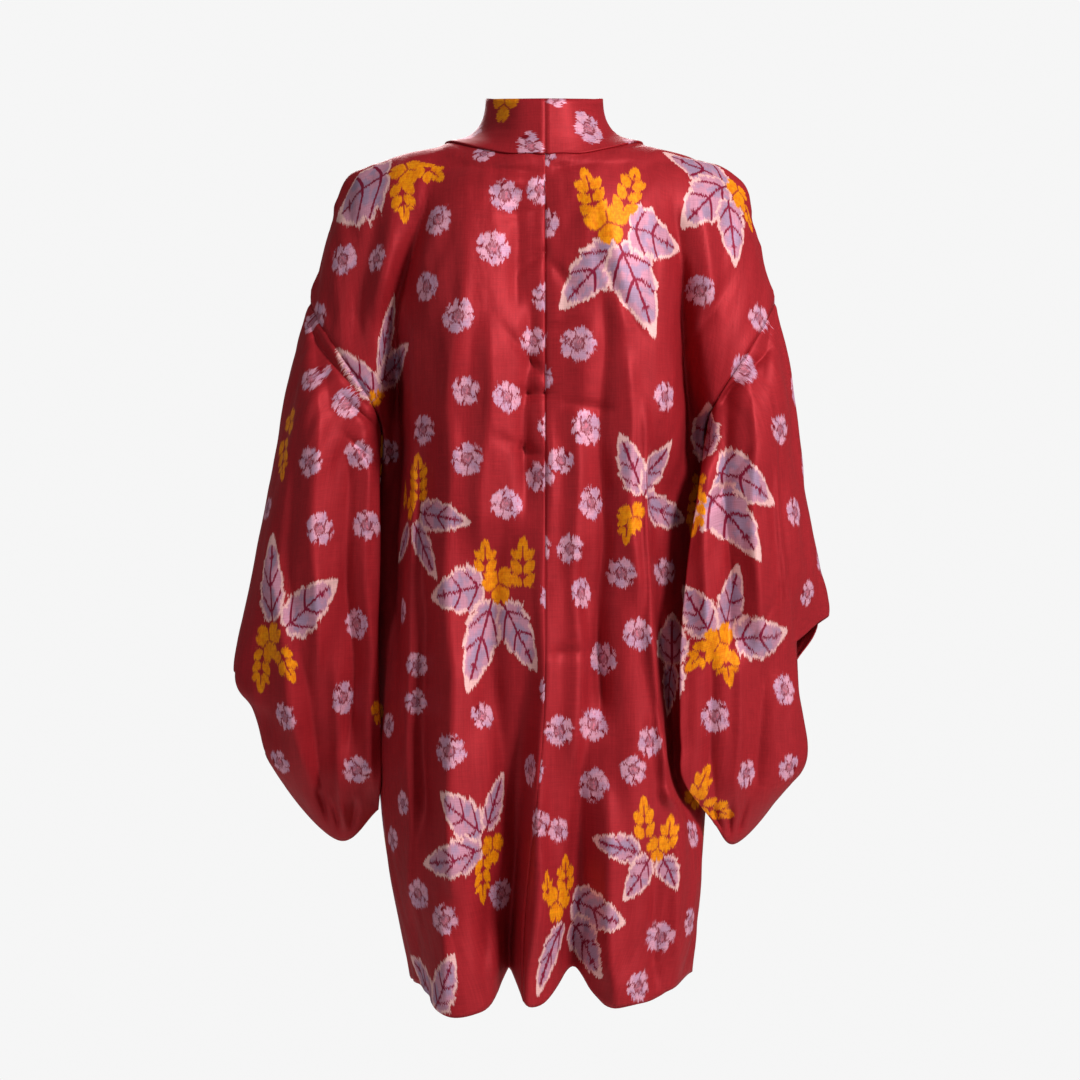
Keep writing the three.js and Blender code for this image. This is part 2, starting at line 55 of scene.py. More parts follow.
# distance along the body's cloth where the back gives way to the front, on top of the shoulder
BACK_END = 800
# strips round the armhole, and how far its lowest ones stand off the body in the sleeve
ARMHOLE_STRIPS, ARMPIT_EASE = 28, 1.0
# the pattern lies on cloth with this share of the large folds, and on the front it counts from this q
MOTIF_FOLDS, FRONT_Q = 0.4, 5000.0
# greatest drift of the hem at its centre, sway at its sides, and rise at the right, below the hip
HEM_DRIFT, HEM_SWAY, HEM_RISE = 19, 7, 11
# most that a side gusset bows out, below the armhole
GUSSET_BOW = 11
TUCK_DEPTH, TUCK_WIDTH = 1.3, 2.6
BODY_RIPPLE, SLEEVE_RIPPLE = 1.5, 1.4
TINY = 1e-6

# The photograph's camera: level, behind the garment, one metre of height and width in view at the neck's depth.
CAMERA_DISTANCE = 1900.0
CAMERA_X = 4.6
CAMERA_Z = -359.0
VIEW_WIDTH = 999.0
SENSOR = 36.0
# the floor, in metres, and the strength of the world's light: as the camera sees it, and on the part
FLOOR_RADIUS, FLOOR_Z, FLOOR_SIDES = 1.85, -1.42, 96
WORLD_SEEN, WORLD_LIT = 0.92, 0.16
# Places read off the photograph are in its pixels: the size of one, and where the neck is.
PHOTO_MM = 0.925
PHOTO_CENTRE, PHOTO_NECK = 545, 152

# ---- The garment's form: the same sections, levels and large folds as its solids
# name, at (distance along the cloth), then inside, near, blade, flank, arm, outside as (x, y, z)
BODY_SECTIONS = [
    ("hem", 0, (0, 132, -762), (46, 135, -763), (84, 124, -763), (112, 96, -760), (126, 62, -757), (129, 34, -756)),
    ("thigh", 130, (0, 127, -632), (48, 130, -632), (90, 117, -632), (124, 90, -632), (142, 58, -632),
     (146, 29, -632)),
    ("hip", 262, (0, 121, -500), (48, 124, -500), (88, 112, -500), (120, 86, -500), (139, 56, -500),
     (155, 24, -500)),
    ("waist", 387, (0, 113, -375), (47, 117, -375), (85, 107, -375), (115, 83, -375), (132, 53, -375),
     (157, 20, -375)),
    ("armpit", 504, (0, 105, -258), (46, 111, -258), (83, 105, -258), (112, 84, -258), (133, 52, -260),
     (150, 16, -262)),
    ("shoulder blade", 582, (0, 99, -180), (45, 106, -178), (82, 102, -176), (112, 82, -180), (136, 60, -200),
     (158, 53, -232)),
    ("yoke", 652, (0, 91, -110), (44, 97, -107), (84, 91, -104), (120, 74, -108), (156, 58, -140), (187, 51, -189)),
    ("upper back", 702, (0, 83, -62), (44, 86, -56), (88, 73, -50), (134, 56, -58), (176, 42, -100),
     (205, 31, -163)),
    ("nape", 748, (0, 75, -16), (42, 75, -25), (92, 54, -22), (146, 39, -30), (186, 26, -70), (213, 15, -149)),
    ("neck back", 769, (30, 70, -15), (60, 65, -18), (103, 45, -17), (152, 31, -25), (188, 19, -64),
     (215, 10, -146)),
    ("neck side", 790, (56, 56, -8), (82, 45, -7), (116, 32, -10), (160, 22, -21), (190, 12, -58), (216, 6, -143)),
    ("shoulder", 840, (89, 6, 6), (112, 4, 0), (146, 2, -10), (186, 0, -29), (198, 0, -74), (217, 0, -141)),
    ("front shoulder", 880, (86, -36, -4), (110, -34, -6), (144, -30, -15), (180, -24, -38), (196, -18, -84),
     (213, -15, -149)),
    ("collarbone", 935, (84, -70, -48), (106, -66, -48), (136, -56, -54), (164, -46, -74), (184, -38, -112),
     (205, -31, -163)),
    ("chest", 1010, (86, -96, -120), (104, -92, -120), (126, -80, -122), (144, -66, -136), (160, -54, -160),
     (187, -51, -189)),
    ("bust", 1080, (88, -108, -190), (102, -104, -190), (118, -92, -190), (132, -74, -196), (144, -60, -210),
     (158, -53, -232)),
    ("front armpit", 1148, (88, -114, -258), (102, -110, -258), (117, -97, -258), (130, -76, -258),
     (140, -48, -260), (150, -16, -262)),
    ("front waist", 1265, (88, -122, -375), (103, -118, -375), (118, -103, -375), (130, -80, -375),
     (142, -52, -375), (157, -20, -375)),
    ("front hip", 1390, (88, -129, -500), (104, -125, -500), (120, -109, -500), (133, -85, -500), (146, -54, -500),
     (155, -24, -500)),
    ("front thigh", 1522, (88, -134, -632), (105, -130, -632), (122, -113, -632), (136, -88, -632),
     (145, -58, -632), (146, -29, -632)),
    ("front hem", 1652, (88, -138, -762), (104, -134, -763), (116, -118, -763), (124, -94, -760),
     (128, -62, -757), (129, -34, -756)),
]
AT = {row[0]: float(row[1]) for row in BODY_SECTIONS}
BODY_KNOTS = np.array([row[1] for row in BODY_SECTIONS], float)
BODY_NET = np.array([row[2:] for row in BODY_SECTIONS], float)

# name of a section, the collar band's free upper edge there, and how far the band bows in half way up
COLLAR_EDGE = [
    ("nape", (0, 66, 35), 0), ("neck back", (22, 61, 36), 3), ("neck side", (42, 42, 40), 8),
    ("shoulder", (54, 2, 45), 12), ("front shoulder", (50, -42, 30), 9), ("collarbone", (44, -80, -22), 3),
    ("chest", (41, -110, -104), 0), ("bust", (40, -122, -184), 0), ("front armpit", (39, -128, -256), 0),
    ("front waist", (38, -136, -375), 0), ("front hip", (38, -143, -500), 0), ("front thigh", (38, -148, -632), 0),
    ("front hem", (38, -152, -763), 0),
]

# strips of the solid's grid between two sections round the armhole, from the back armpit to the front one
ARMHOLE_GRID = [("armpit", 3), ("shoulder blade", 2), ("yoke", 1), ("upper back", 2), ("nape", 2), ("neck back", 1),
                ("neck side", 3), ("shoulder", 3), ("front shoulder", 3), ("collarbone", 3), ("chest", 2),
                ("bust", 3), ("front armpit", 0)]

# sleeve levels from the top down: back edge, back, back rim, outer fold, front rim, front, front edge
STATION_SHARES = np.array([0, 0.22, 3 / 7, 0.5, 4 / 7, 0.78, 1])
CUFF_TOP, CUFF_END, BOTTOM = 4, 6, 7
# length of cloth from the seam to the first level, and from each level to the next
SLEEVE_RUNS = (95, 86, 90, 84, 36, 48, 44)
LEFT_SLEEVE = [
    [(149, 48, -306), (192, 66, -262), (226, 36, -222), (236, 0, -212), (226, -34, -222), (196, -56, -262),
     (160, -42, -300)],
    [(148, 54, -372), (200, 70, -352), (244, 36, -312), (253, 0, -305), (244, -36, -312), (200, -60, -352),
     (162, -46, -372)],
    [(150, 51, -445), (206, 66, -432), (263, 32, -402), (272, -2, -396), (263, -36, -402), (206, -56, -432),
     (164, -44, -445)],
    [(149, 48, -510), (210, 58, -505), (282, 24, -480), (287, -4, -474), (281, -32, -480), (212, -50, -505),
     (166, -40, -510)],
    [(148, 46, -538), (208, 50, -540), (267, 20, -514), (270, -4, -508), (266, -28, -514), (209, -44, -540),
     (165, -34, -538)],
    [(148, 44, -572), (205, 42, -578), (254, 16, -560), (259, -4, -554), (254, -24, -560), (205, -38, -578),
     (164, -28, -572)],
    [(153, 14, -606), (190, 4, -636), (239, -2, -589), (251, -4, -570), (239, -2, -589), (190, 4, -636),
     (155, 6, -606)],
]
RIGHT_SLEEVE = [
    [(138, 66, -306), (178, 72, -262), (217, 36, -222), (227, 0, -212), (217, -34, -222), (190, -56, -262),
     (158, -42, -300)],
    [(127, 78, -372), (174, 78, -352), (226, 38, -312), (240, -4, -305), (230, -38, -312), (194, -60, -352),
     (160, -46, -372)],
    [(120, 84, -445), (170, 78, -432), (234, 36, -386), (254, -8, -382), (246, -38, -390), (200, -56, -432),
     (162, -44, -445)],
    [(119, 86, -510), (172, 72, -490), (231, 24, -452), (263, -18, -430), (257, -36, -438), (204, -50, -490),
     (163, -38, -510)],
    [(120, 86, -540), (175, 66, -536), (233, 20, -496), (236, -12, -486), (229, -32, -488), (200, -44, -532),
     (163, -31, -538)],
    [(122, 84, -572), (180, 56, -586), (240, 14, -558), (243, -6, -548), (238, -24, -556), (196, -36, -580),
     (162, -22, -570)],
    [(152, 52, -614), (174, 34, -634), (218, 4, -592), (236, -4, -566), (218, 4, -592), (174, 34, -634),
     (152, 52, -614)],
]

# Folds as soft ridges and troughs along a line seen from behind:
# x and z of the top, x and z of the foot, height at the top, height at the foot, width, lift of the hem
BACK_FOLDS = [
    (13, -450, 32, -762, -2, -44, 11, 27),  # centre valley
    (1, -470, 19, -762, 0, 14, 7, 0),  # centre ridge
    (70, -430, 76, -762, 0, 12, 22, -4),  # left lobe
    (-20, -540, -24, -762, 0, -28, 18, 31),  # right of centre
    (-78, -470, -80, -762, 0, 12, 22, 4),  # right lobe
    (106, -560, 108, -762, 0, -12, 14, 8),  # left hem turn
    (118, -50, 133, -270, -3, -20, 15, 0),  # left arm valley
    (-120, -110, -136, -262, -4, -18, 12, 0),  # right arm valley
    (62, -210, 56, -500, -3, -5, 16, 0),  # left back sway
    (-44, -260, -50, -560, -2, -6, 17, 0),  # right back sway
]
FRONT_FOLDS = [
    (112, -240, 108, -762, 2, 14, 12, 0),  # left front fold
    (128, -300, 124, -762, -2, -14, 10, 6),  # left front valley
    (-110, -260, -106, -762, 2, 13, 12, 0),  # right front fold
    (-126, -320, -121, -762, -2, -15, 10, 6),  # right front valley
]
SLEEVE_FOLDS = [
    (186, -300, 196, -590, -4, -9, 15, 0),  # left sleeve sway
    (222, -300, 230, -520, 3, 7, 16, 0),  # left sleeve ridge
    (-168, -330, -172, -590, -3, -8, 15, 0),  # right sleeve sway
]
# steps, where the cloth folds over itself: heights of its line, their distances from the centre, and its ramp
FLANK_STEP = ([-240, -424, -517, -566, -620], [86, 93, 99, 108, 124], 6.0)
SLEEVE_STEP = ([-230, -280, -365, -465], [201, 206, 212, 228], 4.5)
# how deep the steps are: as a share of the way to the side seam, and in mm
FLANK_SHARE, SLEEVE_STEP_DEPTH = 0.46, 9.0


def smooth(x, low, high):
    """0 below low and 1 above high, with a smooth turn between."""
    s = np.clip((np.asarray(x, float) - low) / (high - low), 0, 1)
    return s * s * (3 - 2 * s)


def spline(knots, values, t):
    """The smooth curve through values at knots, at each place in t."""
    knots = np.asarray(knots, float)
    values = np.asarray(values, float)
    t = np.atleast_1d(np.asarray(t, float))
    wide = (slice(None),) + (None,) * (values.ndim - 1)
    step = np.diff(knots)
    rate = np.diff(values, axis=0) / step[wide]
    slope = np.empty_like(values)
    slope[0], slope[-1] = rate[0], rate[-1]
    before, after = step[:-1][wide], step[1:][wide]
    slope[1:-1] = (rate[1:] * before + rate[:-1] * after) / (before + after)
    i = np.clip(np.searchsorted(knots, t, side="right") - 1, 0, len(knots) - 2)
    span = step[i][wide]
    s = ((t - knots[i]) / step[i])[wide]
    turn = s * s * (3 - 2 * s)
    lead = s * (1 - s) ** 2 * span * slope[i]
    trail = s * s * (s - 1) * span * slope[i + 1]
    return values[i] * (1 - turn) + values[i + 1] * turn + lead + trail


def along_line(top, foot, x, z):
    """Length of a line, and how far places are along it from its top and aside from it."""
    run = np.subtract(foot, top).astype(float)
    length = math.hypot(*run)
    along = ((x - top[0]) * run[0] + (z - top[1]) * run[1]) / length
    aside = ((x - top[0]) * run[1] - (z - top[1]) * run[0]) / length
    return length, along, aside


def fold_at(folds, x, z):
    """Height and hem lift of a list of folds at places seen from behind."""
    rise = np.zeros_like(x)
    lift = np.zeros_like(x)
    for top_x, top_z, foot_x, foot_z, start, end, width, hem_lift in folds:
        length, along, aside = along_line((top_x, top_z), (foot_x, foot_z), x, z)
        share = np.clip(along / length, 0, 1)
        fade = smooth(along, -60, 20) * (1 - smooth(along, length, length + 60))
        shape = np.exp(-((aside / width) ** 2)) * fade
        rise += (start + (end - start) * share) * shape
        lift += hem_lift * shape * smooth(share, 0.55, 1)
    return rise, lift


def beyond_step(step, x, z):
    """How far places are beyond the line of a step, from 0 to 1."""
    heights, edges, ramp = step
    down = -np.array(heights, float)
    edge = spline(down, np.array(edges, float)[:, None], np.clip(-z, down[0], down[-1]).ravel())[:, 0]
    return smooth(-x - edge.reshape(z.shape), 0, ramp)


def hem_shift(x, y, z):
    """The centre seam drifts to the left below the hip, and the sides sway to the right."""
    side = smooth(np.abs(x), 60, 130)
    drift = HEM_DRIFT * smooth(-z, 470, 740) * smooth(y, 0, 70) * (1 - side)
    return drift - HEM_SWAY * smooth(-z, 600, 780) * side


def hem_rise(x, z):
    """The hem rises towards the right side."""
    return HEM_RISE * smooth(-z, 600, 780) * smooth(-x, 85, 130)


def side_x(side, x):
    """Distance from the centre as x, on the left or on the narrower right."""
    return side * x * (RIGHT_WIDTH if side == RIGHT else 1)


def body_points(side, at, share, folds=1.0):
    """Points of the body cloth: `at` along it (rows) by `share` of the way across it (columns)."""
    net = spline(BODY_KNOTS, BODY_NET, at)
    stations = np.linspace(0, 1, BODY_NET.shape[1])
    grid = spline(stations, net.transpose(1, 0, 2), share).transpose(1, 0, 2)
    x = side_x(side, np.maximum(grid[..., 0], 0))
    y, z = grid[..., 1].copy(), grid[..., 2].copy()
    x = x + hem_shift(x, y, z)
    back = np.broadcast_to((np.asarray(at) < BACK_END)[:, None], x.shape)
    edge_fade = 1 - smooth(share, 0.88, 1)[None, :]
    inner_fade = np.where(back, smooth(-z, 20, 90), smooth(share, 0, 0.15)[None, :])
    back_rise, back_lift = fold_at(BACK_FOLDS, x, z)
    front_rise, front_lift = fold_at(FRONT_FOLDS, x, z)
    y += folds * np.where(back, back_rise, -front_rise) * edge_fade * inner_fade
    z += np.where(back, back_lift, front_lift) * edge_fade * inner_fade + hem_rise(x, z)
    if side == RIGHT:
        seam_y = np.broadcast_to(net[:, -1, 1][:, None], y.shape)
        down = smooth(-z, 235, 330) * (1 - smooth(-z, 600, 665))
        y = np.where(back, y + folds * (seam_y - y) * FLANK_SHARE * down * beyond_step(FLANK_STEP, x, z), y)
    return np.stack([x, y, z], -1)


def sleeve_points(side, rows, columns, folds=1.0):
    """Points of a sleeve: rows in levels from its seam down, columns from its back edge round to its front edge."""
    share = np.linspace(0, 1, columns + 1)
    places = []
    for (name, strips), (after, _) in zip(ARMHOLE_GRID[:-1], ARMHOLE_GRID[1:]):
        places += [AT[name] + (AT[after] - AT[name]) * k / strips for k in range(strips)]
    places.append(AT["front armpit"])
    at = np.interp(share, np.linspace(0, 1, len(places)), places)
    seam = body_points(side, at, np.array([1.0]))[:, 0]
    near_end = np.minimum(share, 1 - share) * ARMHOLE_STRIPS
    seam[:, 0] += side * ARMPIT_EASE * np.clip(1 - near_end / 2, 0, 1)
    lines = [seam]
    for level in LEFT_SLEEVE if side == LEFT else RIGHT_SLEEVE:
        line = spline(STATION_SHARES, np.array(level, float), share)
        line[:, 0] *= side
        lines.append(line)
    grid = spline(np.arange(len(lines)), np.array(lines), rows)
    rise, _ = fold_at(SLEEVE_FOLDS, grid[..., 0], grid[..., 2])
    back = (1 - smooth(share, 0.42, 0.5))[None, :]
    fade = (smooth(rows, 0, 1) * (1 - smooth(rows, BOTTOM - 1, BOTTOM)))[:, None]
    down = smooth(-grid[..., 2], 215, 285) * (1 - smooth(-grid[..., 2], 440, 480))
    step = SLEEVE_STEP_DEPTH * down * beyond_step(SLEEVE_STEP, grid[..., 0], grid[..., 2])
    grid[..., 1] += folds * (rise - step) * back * fade
    return grid


# ---- Fine form, which the solids leave out
# Creases: x and y of the top and of the foot in the photograph, height at the top and foot in mm, width in mm.
CREASES = {
    "back": [
        # left: down the arm, the side and the shoulder blade
        (428, 168, 393, 302, -3, -11, 8), (393, 302, 386, 400, -11, -10, 8), (392, 360, 391, 640, -11, -6, 10),
        (411, 320, 412, 560, 3, 3, 5), (396, 182, 374, 300, 2, 5, 10), (366, 212, 352, 330, -2, -4, 9),
        (468, 176, 450, 420, 2, 4, 13), (514, 190, 520, 300, -2, -5, 9), (490, 330, 482, 540, 3, 5, 11),
        (530, 300, 524, 500, -3, -6, 8),
        # short pulls at the centre seam: left, then right
        (516, 272, 545, 247, -1, -3, 4), (503, 330, 545, 374, -1, -3, 4), (500, 216, 545, 205, -1, -2, 4),
        (497, 440, 540, 455, -1.5, -2.5, 4), (586, 300, 549, 262, -1, -2.5, 5), (580, 322, 549, 332, -1, -2, 4),
        (566, 404, 612, 411, -3, -1.5, 3), (596, 250, 640, 330, -1.5, -2.5, 5),
        # tucks at the waist and hip, and pulls under the collar
        (520, 394, 552, 395, -3.0, -3.0, 4.2), (553, 653, 598, 652, -2.6, -1.6, 4.2),
        (455, 158, 538, 168, -1, -2.6, 4), (600, 157, 549, 166, -0.8, -2.4, 4), (480, 176, 536, 182, 1.2, 1.8, 5),
        # left of the centre, and the ridge beside the seam
        (448, 430, 452, 880, 4, 9, 13), (424, 400, 426, 820, -3, -8, 9), (407, 450, 410, 900, 3, 5, 7),
        (498, 540, 501, 940, -7, -12, 17), (549, 430, 536, 940, 3, 9, 10),
        # right of the centre, and the crisp fold
        (576, 420, 578, 760, 3, 5, 9), (603, 300, 600, 720, -3, -7, 9), (604, 180, 622, 330, 2, 3, 13),
        (628, 360, 636, 600, 3, 5, 9), (645, 410, 653, 606, 3, 6, 5), (650, 612, 668, 790, 6, 8, 5),
        (668, 790, 694, 826, 8, 3, 5), (664, 620, 682, 800, -5, -8, 7),
        # right arm and shoulder
        (676, 200, 690, 330, -3, -11, 8), (690, 330, 693, 455, -11, -10, 7), (702, 190, 716, 300, 3, 6, 10),
        (738, 262, 704, 330, -2, -4, 6),
        # above the hem: right, then left
        (604, 780, 612, 990, 3, 8, 9), (588, 560, 580, 960, -5, -9, 12), (650, 830, 656, 985, -3, -7, 8),
        (676, 820, 680, 960, 3, 5, 7), (440, 860, 446, 1000, 2, 6, 9), (486, 860, 490, 1000, -2, -5, 8),
    ],
    "sleeve": [
        # left: short, at the armhole seam
        (344, 398, 374, 426, -1.5, -3, 3), (316, 344, 352, 384, -1.5, -3, 3), (350, 440, 384, 470, -1.5, -2.5, 3),
        (306, 318, 318, 344, -1.5, -2, 3),
        # left: down the sleeve
        (366, 430, 372, 780, 3, 5, 8), (346, 450, 352, 740, -3, -6, 8), (318, 380, 318, 660, 3, 6, 10),
        (294, 440, 290, 620, -2, -4, 8), (268, 560, 304, 770, 2, 4, 8),
        # left: the rounded corner
        (302, 660, 322, 800, -3, -4, 7), (334, 660, 340, 806, 3, 4, 8), (328, 806, 334, 836, -2.5, -3, 3),
        (352, 806, 346, 836, -2.5, -3, 3), (314, 796, 322, 824, -2, -2.5, 2.8), (340, 808, 340, 836, 2, 2.5, 2.8),
        # right: crossing it below the armhole
        (754, 316, 712, 374, -2, -5, 5), (772, 346, 722, 398, -2, -4, 4), (748, 448, 712, 504, -2, -3, 4),
        (778, 590, 744, 650, -2, -3, 5),
        # right: down the sleeve
        (706, 400, 700, 640, 3, 5, 8), (724, 370, 728, 640, -3, -7, 8), (748, 380, 756, 640, 3, 6, 9),
        (772, 420, 780, 640, -2, -4, 7),
        # right: the rounded corner
        (706, 640, 714, 800, -3, -5, 7), (736, 650, 738, 806, 3, 5, 8), (764, 660, 760, 780, -2, -4, 8),
        (712, 806, 722, 834, -2.5, -3, 3), (730, 808, 730, 838, -2.5, -3, 3), (746, 804, 740, 834, -2, -2.5, 2.8),
    ],
    "front": [
        # guessed, since the photograph shows no front
        (440, 470, 438, 950, -2, -5, 6), (650, 450, 649, 950, -2, -5, 6), (384, 250, 416, 400, -3, -6, 8),
        (702, 250, 672, 410, -3, -6, 8), (396, 600, 398, 950, 3, 6, 7), (692, 560, 688, 950, 3, 6, 7),
        (424, 230, 430, 460, 2, 4, 9), (664, 230, 660, 460, 2, 4, 9),
    ],
}
# depth behind the neck at which the creases of a part lie
DEPTHS = {"back": 100, "sleeve": 55, "front": -100}
# what the heights are multiplied by, and the most that a crease takes to fade at an end
CREASE_DEPTH = 2.0
CREASE_ENDS = 26


def from_photo(x, y, depth=0):
    """A place in the photograph as x and z in mm, at a depth behind the neck."""
    near = (CAMERA_DISTANCE - depth) / CAMERA_DISTANCE
    x, z = (PHOTO_CENTRE - x) * PHOTO_MM, (PHOTO_NECK - y) * PHOTO_MM
    return CAMERA_X + (x - CAMERA_X) * near, CAMERA_Z + (z - CAMERA_Z) * near


def crease_rise(part, x, z):
    """Height that the creases of a part add at places seen from behind."""
    rise = np.zeros_like(x)
    for top_x, top_y, foot_x, foot_y, start, end, width in CREASES[part]:
        top, foot = from_photo(top_x, top_y, DEPTHS[part]), from_photo(foot_x, foot_y, DEPTHS[part])
        length, along, aside = along_line(top, foot, x, z)
        aside = aside + 0.25 * width * np.sin(along / (11 + 1.7 * width) + start)
        ends = min(CREASE_ENDS, 0.3 * length)
        fade = smooth(along, -ends, ends) * (1 - smooth(along, length - ends, length + ends))
        share = np.clip(along / length, 0, 1)
        rise += CREASE_DEPTH * (start + (end - start) * share) * np.exp(-np.abs(aside / width) ** 1.5) * fade
    return rise


def lattice_noise(p, q, wave_p, wave_q, seed):
    """Smooth seeded noise from -1 to 1 on a grid of cloth places, with its own wave length each way."""
    rng = np.random.default_rng(seed)
    table = rng.uniform(-1, 1, (64, 64))
    u, v = p / wave_p, q / wave_q
    i, j = np.floor(u).astype(int), np.floor(v).astype(int)
    s, t = u - i, v - j
    s, t = s * s * (3 - 2 * s), t * t * (3 - 2 * t)
    a, b = table[i % 64, j % 64], table[(i + 1) % 64, j % 64]
    c, d = table[i % 64, (j + 1) % 64], table[(i + 1) % 64, (j + 1) % 64]
    return (a * (1 - s) + b * s) * (1 - t) + (c * (1 - s) + d * s) * t


def unit(vectors):
    return vectors / np.maximum(np.linalg.norm(vectors, axis=-1, keepdims=True), 1e-9)


def outward(grid, heart_x=0.0):
    """Unit normals of a grid, pointing away from a vertical line at heart_x."""
    normals = unit(np.cross(np.gradient(grid, axis=1), np.gradient(grid, axis=0)))
    away = grid - (heart_x, 0, 0)
    away[..., 2] = 0
    return -normals if (normals * away).sum() < 0 else normals


def distance_across(grid):
    """Distance of each place along its row from the first column."""
    across = np.linalg.norm(np.diff(grid, axis=1), axis=-1)
    return np.concatenate([np.zeros((len(grid), 1)), np.cumsum(across, axis=1)], axis=1)


def distance_down(grid):
    """Distance of each place along its column from the first row."""
    return distance_across(grid.transpose(1, 0, 2)).T


def cloth_places(grid, side, upward):
    """Cloth coordinates of a grid, in mm: p across it, towards the wearer's left, and q up its warp from its foot."""
    p = side * distance_across(grid) + grid[:, :1, 0]
    rows = grid if upward else grid[::-1]
    q = distance_down(rows) + rows[:1, :, 2]
    return p, q if upward else q[::-1]


def ripple(grid, normals, p, q, seed, height, margin):
    """Lays soft seeded waves on a grid, long down the cloth and short across it."""
    wave = lattice_noise(p, q, 20.0, 110.0, seed) + 0.45 * lattice_noise(p, q, 9.0, 38.0, seed + 1)
    slant = lattice_noise(p + 0.5 * q, q - 0.4 * p, 15.0, 60.0, seed + 2)
    return grid + normals * (height * ((wave + 0.6 * slant) * margin))[..., None]


def seam_tuck(distance):
    """Depth of the small valley that a sewn seam pulls in, at a distance from it."""
    return -TUCK_DEPTH * np.exp(-((distance / TUCK_WIDTH) ** 2))


# ---- The woven pattern: rosettes and paulownia sprigs
# Places and widths are in the photograph's pixels.
ROSETTE, LEAF, SPIKE, BLOOM = 1, 2, 3, 4
# x, y and width of each rosette
ROSETTES = [
    (484, 154, 30), (505, 196, 42), (438, 220, 40), (493, 248, 44), (427, 287, 40), (458, 316, 44), (534, 341, 36),
    (466, 391, 36), (507, 397, 40), (423, 430, 38), (467, 459, 42), (539, 477, 38), (506, 504, 40), (403, 611, 30),
    (417, 665, 30), (415, 702, 30), (482, 716, 34), (449, 752, 42), (531, 770, 40), (403, 803, 30), (393, 839, 30),
    (537, 824, 36), (419, 894, 40), (445, 920, 36), (501, 894, 40), (578, 344, 46), (586, 428, 44), (561, 461, 34),
    (591, 503, 42), (570, 549, 36), (581, 593, 40), (622, 573, 38), (664, 572, 36), (638, 634, 40), (603, 659, 42),
    (559, 731, 38), (593, 725, 40), (649, 742, 38), (634, 770, 36), (593, 785, 42), (558, 830, 30), (665, 397, 38),
    (660, 937, 38), (638, 987, 38), (690, 922, 34), (692, 834, 34), (343, 260, 42), (377, 259, 36), (317, 317, 38),
    (346, 404, 40), (360, 455, 38), (390, 452, 34), (310, 462, 38), (319, 529, 42), (366, 525, 38), (357, 624, 40),
    (343, 698, 42), (285, 717, 38), (280, 762, 34), (357, 770, 38), (701, 290, 40), (758, 318, 38), (745, 370, 40),
    (780, 430, 38), (795, 512, 38), (807, 593, 34), (784, 690, 40), (715, 716, 42), (746, 774, 38), (789, 767, 34),
    (310, 380, 34), (268, 509, 30), (389, 725, 30),
]
COLLAR_ROSETTES = [(588, 129, 50), (472, 136, 38), (531, 147, 34), (556, 98, 26), (632, 143, 26)]
# the same for rosettes that the centre seam cuts, with the half of the body that shows each
SEAM_ROSETTES = [
    ("body_left", 540, 190, 38), ("body_left", 547, 297, 38), ("body_left", 552, 427, 36),
    ("body_left", 556, 597, 40), ("body_left", 548, 690, 34), ("body_right", 545, 224, 38),
    ("body_right", 538, 378, 40), ("body_right", 536, 548, 38), ("body_right", 528, 690, 42),
    ("body_right", 546, 156, 24),
]
# x and y of the root, x and y of the tip, and width of each leaf
LEAVES = [
    (617, 245, 560, 309, 43), (619, 244, 654, 338, 46), (630, 228, 679, 250, 52), (483, 585, 432, 598, 45),
    (492, 601, 467, 692, 38), (504, 605, 537, 671, 40), (420, 513, 471, 523, 31), (414, 523, 437, 579, 26),
    (409, 526, 399, 562, 22), (482, 834, 441, 793, 40), (486, 830, 503, 772, 24), (482, 849, 424, 864, 35),
    (434, 1008, 411, 956, 35), (436, 1008, 454, 954, 35), (642, 494, 620, 434, 28), (644, 496, 671, 441, 30),
    (647, 498, 684, 520, 32), (672, 664, 672, 613, 32), (672, 664, 667, 716, 30), (640, 853, 593, 838, 27),
    (649, 858, 623, 901, 30), (662, 858, 677, 890, 25), (572, 901, 625, 924, 38), (563, 922, 537, 995, 22),
    (572, 922, 602, 978, 40), (388, 160, 337, 221, 60), (380, 384, 394, 296, 24), (376, 397, 337, 348, 31),
    (380, 384, 409, 344, 30), (273, 621, 273, 534, 35), (285, 628, 337, 580, 45), (256, 640, 243, 592, 24),
    (727, 188, 663, 153, 45), (726, 187, 682, 228, 45), (728, 200, 735, 267, 35), (707, 457, 709, 403, 38),
    (716, 474, 774, 504, 52), (707, 495, 760, 561, 48), (710, 634, 682, 586, 36), (725, 630, 739, 565, 43),
    (735, 640, 787, 630, 42),
]
# x, y and width of each bloom
BLOOMS = [
    (608, 222, 48), (499, 584, 40), (411, 507, 26), (492, 848, 34), (633, 516, 32), (658, 848, 28), (557, 902, 38),
    (408, 170, 42), (376, 397, 20), (291, 422, 30), (270, 640, 42), (738, 191, 34), (698, 484, 24), (720, 642, 46),
    (694, 797, 26), (380, 712, 26),
]
COLLAR_BLOOMS = [(505, 104, 40)]
# x and y of the root, x and y of the tip, and width of each spike of small flowers
SPIKES = [
    (596, 215, 583, 169, 28), (622, 212, 636, 169, 28), (485, 572, 485, 540, 24), (523, 587, 523, 538, 26),
    (418, 501, 418, 455, 22), (406, 506, 406, 481, 18), (483, 858, 483, 903, 26), (628, 518, 626, 544, 20),
    (645, 838, 643, 797, 27), (667, 847, 671, 815, 22), (548, 900, 546, 872, 20), (566, 890, 565, 856, 22),
    (420, 166, 443, 180, 24), (402, 184, 405, 222, 26), (285, 440, 283, 480, 26), (264, 650, 261, 692, 24),
    (280, 650, 294, 682, 24), (744, 204, 752, 232, 20), (698, 492, 692, 537, 24), (710, 646, 686, 671, 27),
    (725, 652, 730, 685, 30), (696, 796, 709, 765, 24), (702, 806, 733, 816, 24),
]


